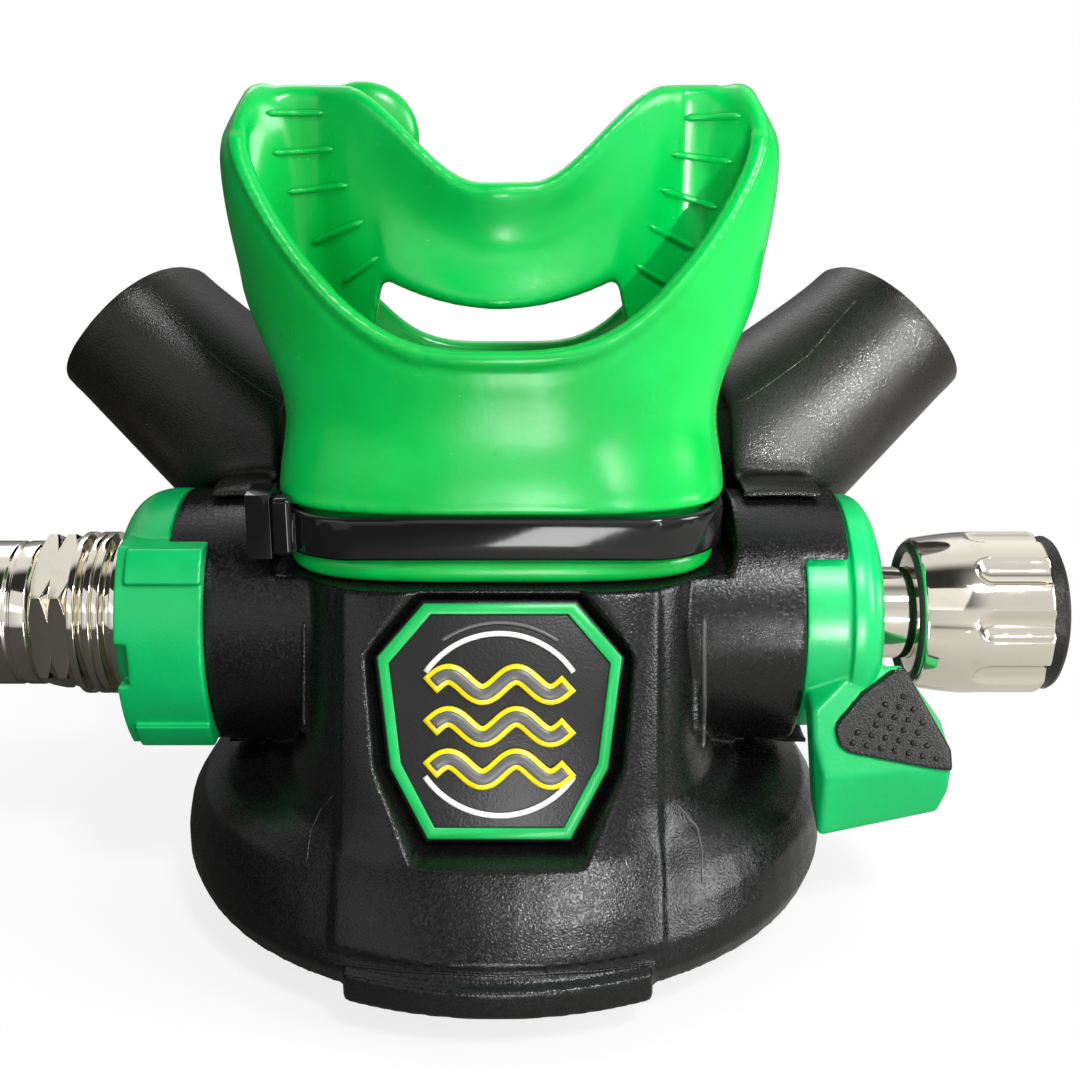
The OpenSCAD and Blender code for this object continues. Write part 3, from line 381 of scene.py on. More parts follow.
def silicone_finish(name, shade, deep):
    """Glossy silicone: colour deepens in clouds, with finger smears in its gloss."""
    f = Finish(name, Subsurface_Weight=0.1, Subsurface_Scale=0.003, Specular_IOR_Level=0.5,
               Subsurface_Radius=(0.3, 1.0, 0.4))
    cloud = f.noise(16, 3, 0.5)
    smear = f.noise(4.5, 3, 0.6, (1, 1, 0.5))
    skin = f.noise(1.1, 3, 0.55)
    dust = (f.cells(1.6) < 0.05) * f.noise(6, 2).step(0.55, 0.7)
    f.set("Base Color", f.blend(dust * 0.35, f.blend(cloud.step(0.3, 0.75), deep, shade),
                                (0.45, 0.75, 0.5)))
    f.set("Roughness", (0.24 + (smear - 0.5) * 0.2 + dust * 0.2).held())
    f.set("Normal", f.bump(skin + smear * 0.6, 0.022))
    return f.material


def polished_metal(name, shade, rough, lathe=0.0):
    """Plated or polished metal, with fine turning marks around the valve axis and water spots."""
    f = Finish(name, Metallic=1.0)
    haze = f.noise(3.2, 4, 0.6)
    spots = (f.cells(1.3) < 0.16) * f.noise(7, 2).step(0.58, 0.66)
    rings = f.noise(0.35, 2, 0.5, (1, 0.02, 0.02))
    f.set("Base Color", f.blend((haze.step(0.5, 0.8) * 0.35 + spots * 0.3).held(), shade,
                                tuple(c * 0.72 for c in shade)))
    f.set("Roughness", (rough + haze.step(0.45, 0.8) * 0.09 + spots * 0.16
                        + (rings - 0.5) * 0.05).held())
    f.set("Normal", f.bump(rings * lathe + haze * 0.2, 0.006))
    return f.material


def srgb(red, green, blue):
    """The linear colour of an sRGB triple from 0 to 255."""
    return tuple(c / 255 / 12.92 if c <= 10 else ((c / 255 + 0.055) / 1.055) ** 2.4
                 for c in (red, green, blue))


FINISHES = {name: make(name, *numbers) for name, make, *numbers in (
    # The case's last number sets how far its glint cells lighten its colour: a painted glint.
    ("case_plastic", moulded_plastic, (0.0042, 0.0042, 0.0044), 0.22, 0.2, 0.045, 0.5, 0.4, 0.3),
    # A paler black for edges on the lit side: a painted highlight.
    ("worn_edge", moulded_plastic, (0.07, 0.07, 0.066), 0.3, 0.9, 0.05, 0.6),
    ("soft_black", soft_rubber, (0.006, 0.0058, 0.0051), 0.3, 0.24, 0.07, 0.34),
    ("seal_black", soft_rubber, (0.01, 0.01, 0.01), 0.4),
    ("tie_plastic", moulded_plastic, (0.006, 0.006, 0.0065), 0.08, 1.6, 0.004, 0.8),
    ("inner_plastic", moulded_plastic, (0.03, 0.03, 0.032), 0.45, 0.6, 0.03),
    ("green_silicone", silicone_finish, srgb(0, 197, 84), srgb(0, 176, 64)),
    ("green_plastic", moulded_plastic, srgb(0, 176, 94), 0.3, 0.4, 0.02, 0.35),
    # The chrome's warm tint stands in for the warm room it mirrors: a painted reflection.
    ("chrome", polished_metal, (0.86, 0.81, 0.7), 0.06),
    ("steel", polished_metal, (0.56, 0.56, 0.57), 0.24, 1.0),
    ("brass", polished_metal, (0.72, 0.52, 0.2), 0.22, 1.0),
    ("clear_silicone", soft_rubber, (0.4, 0.42, 0.43), 0.35),
    ("badge_black", moulded_plastic, (0.006, 0.0064, 0.006), 0.36, 0.3, 0.03, 0.2),
    ("badge_green", moulded_plastic, srgb(6, 176, 84), 0.3, 0.4, 0.012, 0.15),
    ("badge_yellow", moulded_plastic, srgb(240, 218, 8), 0.32, 0.4, 0.012, 0.15),
    ("badge_white", moulded_plastic, srgb(228, 230, 228), 0.3, 0.4, 0.01, 0.1),
    ("badge_grey", moulded_plastic, srgb(92, 92, 92), 0.34, 0.4, 0.012, 0.15),
)}


def coat(obj, finish):
    """Gives a piece one finish."""
    obj.data.materials.clear()
    obj.data.materials.append(FINISHES[finish])


# ---------------------------------------------------------------- making pieces

BODY_OF = {node: body for body, nodes in frame["record"]["behaviour"]["bodies"].items()
           for node in nodes}
SLOT_OF = {s["node"]: s["material_slot"] for s in frame["record"]["subparts"]}


def add_mesh(name, mesh, finish, body, nodes=()):
    """Links a mesh as a piece that rides on a body and stands for some CAD nodes."""
    obj = bpy.data.objects.new(name, mesh)
    bpy.context.scene.collection.objects.link(obj)
    coat(obj, finish)
    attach(obj, body)
    if nodes:
        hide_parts(*nodes)
    return obj


def add_piece(name, bm, finish, body, nodes=()):
    """Turns a bmesh into a piece with smooth shading."""
    mesh = bpy.data.meshes.new(name)
    bm.to_mesh(mesh)
    bm.free()
    for face in mesh.polygons:
        face.use_smooth = True
    return add_mesh(name, mesh, finish, body, nodes)


def merged(node):
    """A bmesh of a CAD solid with its loose triangles joined."""
    bm = bmesh.new()
    bm.from_mesh(frame["nodes"][node].data)
    bmesh.ops.remove_doubles(bm, verts=bm.verts, dist=0.01 * MM)
    return bm


def even_skin(bm, voxel, passes, keep=1.0):
    """One skin of even small faces around everything in a bmesh, with its edges rounded off.

    voxel is the face size in millimetres, passes how often it is smoothed, and keep the share
    of faces that stays."""
    mesh = bpy.data.meshes.new("rough")
    bm.to_mesh(mesh)
    bm.free()
    rough = bpy.data.objects.new("rough", mesh)
    bpy.context.scene.collection.objects.link(rough)
    even = rough.modifiers.new("even", "REMESH")
    even.mode = "VOXEL"
    even.voxel_size = voxel * MM
    even.adaptivity = 0
    soft = rough.modifiers.new("soft", "SMOOTH")
    soft.factor = 0.5
    soft.iterations = passes
    if keep < 1:
        fewer = rough.modifiers.new("fewer", "DECIMATE")
        fewer.ratio = keep
    mesh = bpy.data.meshes.new_from_object(rough.evaluated_get(
        bpy.context.evaluated_depsgraph_get()))
    bpy.data.objects.remove(rough)
    for face in mesh.polygons:
        face.use_smooth = True
    return mesh


def smoothed(bm, verts, passes):
    """Smooths some of a bmesh's corners, pass after pass."""
    for _ in range(passes):
        bmesh.ops.smooth_vert(bm, verts=verts, factor=0.5, use_axis_x=True, use_axis_y=True,
                              use_axis_z=True)


def rounded_copy(node, voxel, passes, keep=1.0):
    """A copy of a CAD solid with its edges rounded off."""
    mesh = even_skin(merged(node), voxel, passes, keep)
    return add_mesh(node + "_soft", mesh, SLOT_OF[node], BODY_OF[node], (node,))


def loft(bm, rings, ends=True):
    """Adds a skin over rings of points in millimetres, each ring extruded from the last.

    With ends the first and last ring are closed by a face."""
    verts = [bm.verts.new(Vector(p) * MM) for p in rings[0]]
    count = len(verts)
    edges = [bm.edges.new((verts[i], verts[(i + 1) % count])) for i in range(count)]
    if ends:
        bmesh.ops.contextual_create(bm, geom=edges)
    for ring in rings[1:]:
        grown = bmesh.ops.extrude_edge_only(bm, edges=edges)["geom"]
        new = {g for g in grown if isinstance(g, bmesh.types.BMVert)}
        verts = [next(e.other_vert(v) for e in v.link_edges if e.other_vert(v) in new)
                 for v in verts]
        for v, p in zip(verts, ring):
            v.co = Vector(p) * MM
        edges = [bm.edges.get((verts[i], verts[(i + 1) % count])) for i in range(count)]
    if ends:
        bmesh.ops.contextual_create(bm, geom=edges)


def closed_up(bm):
    """Joins the seams of a bmesh and turns its faces outward."""
    bmesh.ops.remove_doubles(bm, verts=bm.verts, dist=0.0005 * MM)
    bmesh.ops.recalc_face_normals(bm, faces=bm.faces)
    return bm


def surface(obj):
    """A search tree over a piece's faces."""
    return BVHTree.FromPolygons([v.co for v in obj.data.vertices],
                                [p.vertices for p in obj.data.polygons])


def laid_line(name, tree, line_px, width, height, finish, body):
    """A thin raised line on a surface, through points given in pixels of the frame."""
    spots = []
    for (ax, ay), (bx, by) in zip(line_px, line_px[1:]):
        steps = max(2, int(math.hypot(bx - ax, by - ay) / STEP_PX))
        for i in range(steps + 1):
            t = i / steps
            sight = sight_line(ax + (bx - ax) * t, ay + (by - ay) * t)
            spot, normal, _, _ = tree.ray_cast(CAMERA_AT, sight)
            if spot and (not spots or (spot - spots[-1][0]).length > LINE_STEP * MM):
                spots.append((spot, normal))
    rings = []
    for i, (spot, normal) in enumerate(spots):
        along = (spots[min(i + 1, len(spots) - 1)][0] - spots[max(i - 1, 0)][0]).normalized()
        side = along.cross(normal).normalized()
        taper = 0.3 if i in (0, len(spots) - 1) else 1
        rings.append([(spot + side * math.cos(a) * width / 2 * taper * MM
                       + normal * math.sin(a) * height * taper * MM) / MM
                      for a in (math.pi * k / 4 for k in range(8))])
    bm = bmesh.new()
    loft(bm, rings)
    add_piece(name, closed_up(bm), finish, body)


def turned(profile, steps=160, fillet=0.0):
    """A bmesh turned about the valve axis from a closed profile of (x, radius) in millimetres."""
    bm = bmesh.new()
    corners = [bm.verts.new((x * MM, 0, (AXIS_Z + r) * MM)) for x, r in profile]
    edges = [bm.edges.new((corners[i], corners[(i + 1) % len(corners)]))
             for i in range(len(corners))]
    if fillet:
        bmesh.ops.bevel(bm, geom=corners, offset=fillet * MM, segments=3, profile=0.5,
                        affect="VERTICES", material=-1)
    bmesh.ops.spin(bm, geom=bm.verts[:] + bm.edges[:], cent=(0, 0, AXIS_Z * MM),
                   axis=(1, 0, 0), angle=2 * math.pi, steps=steps, use_merge=True,
                   use_duplicate=False)
    return closed_up(bm)


def smooth_by_angle(obj, degrees):
    """Keeps edges sharp where faces meet at more than an angle."""
    obj.data.set_sharp_from_angle(angle=math.radians(degrees))


def round_edges(obj, width, segments, degrees=28):
    """Rounds a piece's sharp edges."""
    rim = obj.modifiers.new("rim", "BEVEL")
    rim.width = width * MM
    rim.segments = segments
    rim.limit_method = "ANGLE"
    rim.angle_limit = math.radians(degrees)
    rim.harden_normals = True


def chamfered(node, width, degrees=28):
    """A copy of a CAD solid with its sharp edges rounded by a small bevel."""
    bm = merged(node)
    bmesh.ops.dissolve_limit(bm, angle_limit=math.radians(0.6), verts=bm.verts, edges=bm.edges)
    obj = add_piece(node + "_edged", bm, SLOT_OF[node], BODY_OF[node], (node,))
    round_edges(obj, width, 3, degrees)


# ---------------------------------------------------------------- mouthpiece

def seg(a, b, t):
    """The value a share t of the way from a to b."""
    return a + (b - a) * t


def smooth(t):
    """Rises smoothly from 0 at 0 to 1 at 1, and stays level outside."""
    t = min(1.0, max(0.0, t))
    return t * t * (3 - 2 * t)


def oval(half_x, half_y, square, angle):
    """Point of a superellipse at an angle."""
    c, s = math.cos(angle), math.sin(angle)
    return (half_x * math.copysign(abs(c) ** (2 / square), c),
            half_y * math.copysign(abs(s) ** (2 / square), s))


def rim_z(angle):
    """Height of the flange's rim: low at the front and the back, high at both ends."""
    c, s = abs(math.cos(angle)), math.sin(angle)
    front = seg(RIM_FRONT_Z, RIM_END_Z, c ** RIM_FRONT_POWER)
    back = seg(RIM_BACK_Z, RIM_END_Z, c ** RIM_BACK_POWER)
    return front if s < 0 else seg(front, back, smooth(s * 1.6))


def skin_point(z, angle, inset):
    """Point of the flange's outer skin, or inset millimetres inside it."""
    low = smooth((z - BROW_Z) / (WAIST_Z - BROW_Z))
    if z < WAIST_Z:
        half_x = seg(BEAD_HW + 0.9, BEAD_HW, low)
        half_y = seg(BEAD_HD + 0.6, BEAD_HD, low)
    else:
        flared = FLANGE_HW - 1.5
        if z < FLARE_Z:
            half_x = seg(BEAD_HW, flared, smooth((z - WAIST_Z) / (FLARE_Z - WAIST_Z)))
        else:
            half_x = seg(flared, FLANGE_HW, math.sin(math.pi / 2 * min(1, (z - FLARE_Z) / 12)))
            half_x -= TUCK_IN * min(1, max(0, (z - TUCK_Z) / TUCK_SPAN)) ** 2
        half_y = BEAD_HD + 2.6 * smooth((z - WAIST_Z) / 16)
    square = seg(3.6, 2.15, smooth((z - BROW_Z) / 22))
    return (*oval(half_x - inset, half_y - inset, square, angle), z)


def plate_y(x):
    """How far the bite plate's middle vaults forward at x."""
    return -BRIDGE_OUT * (1 - min(1.0, abs(x) / (PLATE_IN + 6)) ** 1.8)


def plate_span(x):
    """Heights of the bite plate's lower and upper edge at x."""
    top = seg(BRIDGE_Z, RIM_END_Z + 0.6, smooth((abs(x) - (3.4 if x > 0 else 2)) / 15))
    inner = smooth((abs(x) - PLATE_IN + 1.2) / 1.6)
    low = seg(BRIDGE_LOW_Z + 2.8 * (x / 13) ** 2, TAB_LOW_Z, inner)
    past = max(0.0, abs(x) - 17.4)
    return max(low, TAB_LOW_Z + 0.6 * past + 0.085 * past ** 2), top


def rim_reach(z):
    """How far the front rim stands before the middle plane at a height."""
    high = min(1, max(0, (z - RIM_FRONT_Z) / (RIM_END_Z - RIM_FRONT_Z))) ** (1 / RIM_FRONT_POWER)
    return 18.4 * (1 - high ** 2) ** 0.465


def flange_skin(bm):
    """The sleeve with its bead, groove and brow, and the flange with its rolled rim."""
    angles = [2 * math.pi * i / 240 for i in range(240)]
    sleeve = [(BEAD_Z + BEAD_R + BEAD_R * math.sin(math.radians(a)),
               -1.1 + 1.1 * math.cos(math.radians(a))) for a in range(-90, 91, 18)]
    sleeve += [(GROOVE_Z0 + 0.3, -1), (GROOVE_Z1 - 0.1, -1), (GROOVE_Z1, 0.3),
               (GROOVE_Z1 + 0.2, 0.75), (BROW_Z - 0.1, 0.95)]
    rings = [[(*oval(BEAD_HW + out, BEAD_HD + out * 0.8, SLEEVE_SQUARE, a), z) for a in angles]
             for z, out in sleeve]
    for i in range(1, 31):
        ring = []
        for a in angles:
            top = rim_z(a) - ROLL_IN
            z = seg(BROW_Z, top, i / 30)
            ring.append(skin_point(z, a, 0.35 * math.exp(-((top - z) / 0.9) ** 2)))
        rings.append(ring)
    for turn in range(-45, 226, 18):
        c, s = math.cos(math.radians(turn)), math.sin(math.radians(turn))
        rings.append([skin_point(rim_z(a) + ROLL_R * s, a, ROLL_IN - ROLL_R * c) for a in angles])
    for i in range(24, -1, -1):
        rings.append([skin_point(seg(NECK_Z + 2, rim_z(a) - 0.9, i / 24), a, SKIN) for a in angles])
    for z in (NECK_Z + 0.4, BEAD_Z):
        rings.append([(*oval(NECK_HW, NECK_HD, SLEEVE_SQUARE, a), z) for a in angles])
    loft(bm, rings + [rings[0]], ends=False)


def bite_plate(bm):
    """Two bite tabs joined by a bridge that vaults forward and has a thick soft lip."""
    rings = []
    turns = [math.radians(turn) for turn in range(0, 181, 15)]
    for i in range(-47, 48):
        x = i * 0.6
        low, top = plate_span(x)
        foot_z, head_z = low + PLATE_HALF, top - PLATE_HALF
        ring = [(head_z + PLATE_HALF * math.sin(a), PLATE_HALF * math.cos(a)) for a in turns]
        ring += [(seg(head_z, foot_z, k / 14), -PLATE_HALF) for k in range(1, 14)]
        ring += [(foot_z - PLATE_HALF * math.sin(a), -PLATE_HALF * math.cos(a)) for a in turns]
        ring += [(seg(foot_z, head_z, k / 14), PLATE_HALF) for k in range(1, 14)]
        hollow = 2.2 * max(0.0, 1 - (x / 17) ** 2)
        bend = 0.55 * smooth((abs(x) - 22) / 5.5)
        placed = []
        for z, out in ring:
            share = min(1, max(0, (z - low) / (top - low)))
            y = plate_y(x) + out - bend * rim_reach(z)
            placed.append((x, y + hollow * math.sin(math.pi * share) ** 1.5, z))
        rings.append(placed)
    loft(bm, rings)


def mouthpiece():
    """Sleeve, flange and bite plate with its lobes, in one even skin."""
    bm = bmesh.new()
    flange_skin(bm)
    closed_up(bm)
    plate = bmesh.new()
    bite_plate(plate)
    for place, radii in LOBES:
        lobe = bmesh.ops.create_uvsphere(plate, u_segments=32, v_segments=20, radius=1)["verts"]
        bmesh.ops.transform(plate, verts=lobe, matrix=Matrix.Translation(Vector(place) * MM)
                            @ Matrix.Diagonal((*(r * MM for r in radii), 1)))
    closed_up(plate)
    joined = bpy.data.meshes.new("plate")
    plate.to_mesh(joined)
    plate.free()
    bm.from_mesh(joined)
    mesh = even_skin(bm, voxel=0.42, passes=5, keep=0.8)
    corners = bmesh.new()
    corners.from_mesh(mesh)
    smoothed(corners, [v for v in corners.verts
                       if v.co.z > CORNER_Z * MM and abs(v.co.x) > CORNER_X * MM], 30)
    corners.to_mesh(mesh)
    corners.free()
    return add_mesh("mouthpiece_soft", mesh, SLOT_OF["mouthpiece"], BODY_OF["mouthpiece"],
                    ("mouthpiece",))


mouth_tree = surface(mouthpiece())

# Thin ridges across the bite tabs
for side, ridges in (("left", RIDGES_LEFT_PX), ("right", RIDGES_RIGHT_PX)):
    for k, ridge in enumerate(ridges):
        laid_line(f"bite_ridge_{side}_{k}", mouth_tree, ridge, RIDGE_W, RIDGE_H,
                  "green_silicone", "case_body")

# ---------------------------------------------------------------- strap

chamfered("tie_band", 0.7, degrees=40)
chamfered("tie_head", 0.75, degrees=40)


def head_lug():
    """Small block where the strap leaves its head."""
    low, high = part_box("tie_head")
    bm = bmesh.new()
    size = Vector(LUG_SIZE) * MM
    centre = Vector((low.x + LUG_X * MM, low.y + LUG_Y * MM, (low.z + high.z) / 2))
    bmesh.ops.create_cube(bm, size=1,
                          matrix=Matrix.Translation(centre) @ Matrix.Diagonal((*size, 1)))
    round_edges(add_piece("head_lug", bm, "tie_plastic", "case_body"), 0.6, 4)


head_lug()

# ---------------------------------------------------------------- black case

case_tree = surface(rounded_copy("case", voxel=0.42, passes=3, keep=0.34))
# The right rib and seam take the paler finish and the left ones do not: a painted highlight on the lit
# side.
for line_name, line_px, width, height, line_finish in (
        ("rib_right", RIB_RIGHT_PX, 0.6, 0.3, "worn_edge"),
        ("rib_left", RIB_LEFT_PX, 0.6, 0.3, "case_plastic"),
        ("seam_right", SEAM_RIGHT_PX, 0.26, 0.14, "worn_edge"),
        ("seam_left", SEAM_LEFT_PX, 0.3, 0.12, "case_plastic"),
        ("ring_line", RING_LINE_PX, 0.35, 0.12, "case_plastic")):
    laid_line(line_name, case_tree, line_px, width, height, line_finish, "case_body")

# ---------------------------------------------------------------- exhaust tee

def beside_case(x, y, z):
    """The point moved clear of the mouthpiece, the tower and the cross tube."""
    side = math.copysign(1, x)
    if z > TOWER_TOP_Z - 3 and abs(x) < SLEEVE_CLEAR[0] and y < SLEEVE_CLEAR[1]:
        if SLEEVE_CLEAR[0] - abs(x) < SLEEVE_CLEAR[1] - y:
            x = side * SLEEVE_CLEAR[0]
        else:
            y = SLEEVE_CLEAR[1]
    if abs(x) < TOWER_CLEAR[0] and y < TOWER_CLEAR[1]:
        y = TOWER_CLEAR[1]
    reach = math.hypot(y, z - AXIS_Z)
    if reach < TUBE_CLEAR:
        y, z = y * TUBE_CLEAR / reach, AXIS_Z + (z - AXIS_Z) * TUBE_CLEAR / reach
    return x, y, z


def wing_wall(bm, side):
    """A stop inside one wing of the tee that closes it where it passes the mouthpiece."""
    rings = []
    for i in range(17):
        t = seg(STOP_FROM, STOP_TO, i / 16)
        mid_x, mid_y = [seg(WING_FOOT[axis], OUTLET[axis], t) for axis in (0, 1)]
        mid_z = seg(WING_FOOT[2], OUTLET[2], t ** 1.05)
        half_wide = seg(*WING_WIDE, t ** 0.8) - STOP_INSET
        half_deep = seg(*WING_DEEP, t) - STOP_INSET
        ring = []
        for k in range(60):
            wide, deep = oval(half_wide, half_deep, WING_SQUARE, 2 * math.pi * k / 60)
            along = -deep * WING_LEAN * t
            x = mid_x - math.sin(WING_RISE) * wide + math.cos(WING_RISE) * along
            z = mid_z + math.cos(WING_RISE) * wide + math.sin(WING_RISE) * along
            x, y, z = beside_case(x, mid_y + deep, z)
            ring.append((side * x, y, z))
        rings.append(ring)
    loft(bm, rings)


def exhaust_tee():
    """Rubber tee with long smooth wings and crisp outlet ends."""
    rough = merged("exhaust_tee")
    for side in (-1, 1):
        wing_wall(rough, side)
    bmesh.ops.recalc_face_normals(rough, faces=rough.faces)
    mesh = even_skin(rough, voxel=0.55, passes=3, keep=0.85)
    bm = bmesh.new()
    bm.from_mesh(mesh)
    ends = []
    for side in (-1, 1):
        normal = Vector((side * math.cos(WING_RISE), WING_LEAN, math.sin(WING_RISE))).normalized()
        ends.append((Vector((side * OUTLET[0], OUTLET[1], OUTLET[2])) * MM, normal))
    inner = [v for v in bm.verts
             if all((v.co - at).dot(normal) < -END_PLAIN * MM for at, normal in ends)]
    before = [v.co.copy() for v in inner]
    smoothed(bm, inner, 22)
    for v, start in zip(inner, before):
        moved = v.co - start
        if moved.length > TEE_GIVE * MM:
            v.co = start + moved.normalized() * TEE_GIVE * MM
    for v in bm.verts:
        v.co.x += RIGHT_REACH * MM * smooth((v.co.x / MM - REACH_X0) / REACH_SPAN)
    ends[1] = (ends[1][0] + Vector((RIGHT_REACH * MM, 0, 0)), ends[1][1])
    # Each rounded end is stretched past its outlet and cut off there, which leaves crisp edges
    for at, normal in ends:
        for v in bm.verts:
            past = (v.co - at).dot(normal) + END_STRETCHED * MM
            if past > 0:
                v.co += normal * past * 1.4
        bmesh.ops.bisect_plane(bm, geom=bm.verts[:] + bm.edges[:] + bm.faces[:], plane_co=at,
                               plane_no=normal, clear_outer=True)
        rim = [e for e in bm.edges if e.is_boundary]
        bmesh.ops.triangle_fill(bm, use_beauty=True, edges=rim, normal=normal)
    bmesh.ops.recalc_face_normals(bm, faces=bm.faces)
    obj = add_piece("tee_soft", bm, SLOT_OF["exhaust_tee"], BODY_OF["exhaust_tee"],
                    ("exhaust_tee",))
    smooth_by_angle(obj, 55)
    return obj


tee_tree = surface(exhaust_tee())
for side, seam_px in (("right", TEE_SEAM_RIGHT_PX), ("left", TEE_SEAM_LEFT_PX)):
    laid_line(f"tee_seam_{side}", tee_tree, seam_px, 0.26, 0.09, "soft_black", "case_body")

# ---------------------------------------------------------------- green clip and lever

rounded_copy("inlet_clip", voxel=0.22, passes=3)
rounded_copy("venturi_lever", voxel=0.22, passes=3)
grip_tree = surface(rounded_copy("lever_grip", voxel=0.14, passes=4))


def inside(point, corners):
    """True where a point lies inside a triangle."""
    signs = []
    for i in range(3):
        (ax, ay), (bx, by) = corners[i], corners[(i + 1) % 3]
        signs.append((bx - ax) * (point[1] - ay) - (by - ay) * (point[0] - ax) > 0)
    return all(signs) or not any(signs)


def grip_dots():
    """Round studs in slanted rows over the front of the grip."""
    bm = bmesh.new()
    for row in range(8):
        for column in range(-2, 9):
            px, py = [start + rise * row + step * column for start, rise, step in
                      zip(GRIP_START_PX, GRIP_RISE_PX, GRIP_ROW_PX)]
            if not inside((px, py), GRIP_CORNERS_PX):
                continue
            spot, normal, _, _ = grip_tree.ray_cast(CAMERA_AT, sight_line(px, py))
            if spot is None:
                continue
            turn = normal.to_track_quat("Z", "Y").to_matrix().to_4x4()
            place = Matrix.Translation(spot) @ turn @ Matrix.Diagonal((1, 1, 0.7, 1))
            bmesh.ops.create_icosphere(bm, subdivisions=2, radius=STUD_R * MM, matrix=place)
    add_piece("grip_studs", bm, "soft_black", "venturi")


grip_dots()

# ---------------------------------------------------------------- chrome

def fluted_knob():
    """Turned knob with round-ended flutes milled over its outer part."""
    bore, spindle, skirt, web = 5.66, 1.8, 9.12, KNOB_X0 + 3.2
    # How many flutes, their cutter's radius and how far its middle stands off the knob
    flutes, cutter, lift = 9, 2.2, 1.2
    start = KNOB_X0 + 0.52 * (KNOB_X1 - KNOB_X0)
    stations = 60
    outer = [(KNOB_X0, bore), (KNOB_X0, 8.6), (KNOB_X0 + 0.12, 8.95), (KNOB_X0 + 0.35, skirt)]
    outer += [(seg(KNOB_X0 + 0.35, KNOB_X1 - 0.6, i / stations),
               skirt + (KNOB_R - skirt) * math.sin(math.pi / 2 * min(1, 1.9 * i / stations)))
              for i in range(1, stations + 1)]
    outer += [(KNOB_X1 - 0.25, KNOB_R - 0.12), (KNOB_X1 - 0.06, KNOB_R - 0.35),
              (KNOB_X1, KNOB_R - 0.7), (KNOB_X1, 4), (KNOB_X1, 0)]
    inner = [(KNOB_SPINDLE_X, 0), (KNOB_SPINDLE_X, spindle), (web, spindle), (web, bore)]
    bm = turned(outer + inner, steps=288)
    for v in bm.verts:
        x, y, z = v.co.x / MM, v.co.y / MM, v.co.z / MM - AXIS_Z
        r = math.hypot(y, z)
        if r < 7 or x < KNOB_X0 + 1.5:
            continue
        step = 2 * math.pi / flutes
        off = (math.atan2(-y, z) + step / 2) % step - step / 2
        side = r * math.sin(off)
        ahead = max(0.0, start - x)
        depth = cutter ** 2 - side ** 2 - ahead ** 2
        if depth > 0:
            floor = KNOB_R + lift - math.sqrt(depth)
            if floor < r:
                v.co.y *= floor / r
                v.co.z = (AXIS_Z + z * floor / r) * MM
    smooth_by_angle(add_piece("fluted_knob", bm, "chrome", "adjuster", ("knob",)), 40)


fluted_knob()


def heat_fins():
    """Body of the heat exchanger with its neck and fins, the middle two close together."""
    profile = [(INLET_X0, EXCHANGER_BORE), (INLET_X0, INLET_R), (FINS_X[0][0], INLET_R)]
    for i, (x0, x1) in enumerate(FINS_X):
        root = FIN_R - (0.4 if i == 1 else 1.7)
        profile += [(x0, FIN_R), (x1, FIN_R), (x1, root)]
        if i < len(FINS_X) - 1:
            profile.append((FINS_X[i + 1][0], root))
    profile[-1] = (FIN_X1, NECK_R)
    profile += [(NECK_X1, NECK_R), (NECK_X1, BODY_R), (BODY_X1, BODY_R), (BODY_X1, SEAT_R),
                (SEAT_X, SEAT_R), (SEAT_X, EXCHANGER_BORE)]
    smooth_by_angle(add_piece("heat_fins", turned(profile, fillet=0.14), "chrome", "case_body",
                              ("heat_exchanger",)), 50)


heat_fins()


def polished_ferrule():
    """Hose ferrule with a shallow groove near its nut, and its stem."""
    x1, r = NUT_X0 - 0.2, FERRULE_R
    socket, stem, collar, bore = 5.6, 4.3, 6.2, 2.4
    profile = [(FERRULE_X0, socket), (FERRULE_X0, r - 0.5), (FERRULE_X0 + 0.9, r), (x1 - 3.2, r),
               (x1 - 2.9, r - 0.25), (x1 - 2.5, r - 0.25), (x1 - 2.2, r), (x1 - 0.5, r),
               (x1, r - 0.5), (x1, stem), (NUT_X0 + 0.8, stem), (NUT_X0 + 0.8, collar),
               (NUT_X0 + 1.3, collar), (NUT_X0 + 1.3, bore), (NUT_X0 - 4, bore),
               (NUT_X0 - 4, socket)]
    smooth_by_angle(add_piece("polished_ferrule", turned(profile, fillet=0.1), "chrome",
                              "case_body", ("hose_ferrule",)), 50)


polished_ferrule()
chamfered("swivel_nut", 0.22)

# ---------------------------------------------------------------- badge

BADGE = (Matrix.Translation(Vector(BADGE_AT))
         @ Matrix.Rotation(math.radians(90 - BADGE_SLOPE), 4, "X"))


def octagon(grow, scale=1.0, drop=0.0):
    """Outline of the badge, from its top edge down, in its own plane."""
    top, low = BADGE_HW * 0.62 + grow * 0.6, BADGE_HW * 0.58 + grow * 0.6
    side = [(top, grow), (BADGE_HW + grow, -BADGE_L * 0.23),
            (BADGE_HW * 0.885 + grow, -BADGE_L * 0.7), (low, -BADGE_L - grow)]
    points = side + [(-x, y) for x, y in reversed(side)]
    return [(x * scale, y * scale - drop) for x, y in points]


def badge_solid(name, rings, finish, nodes=(), closed=False):
    """A piece of the badge lofted over rings of (x, y, height) in the badge's plane."""
    bm = bmesh.new()
    placed = [[BADGE @ Vector(p) for p in ring] for ring in rings]
    loft(bm, placed + [placed[0]] if closed else placed, ends=not closed)
    add_piece(name, closed_up(bm), finish, "case_body", nodes)


def at_height(points, height):
    """An outline's points at one height over the badge's plane."""
    return [(x, y, height) for x, y in points]


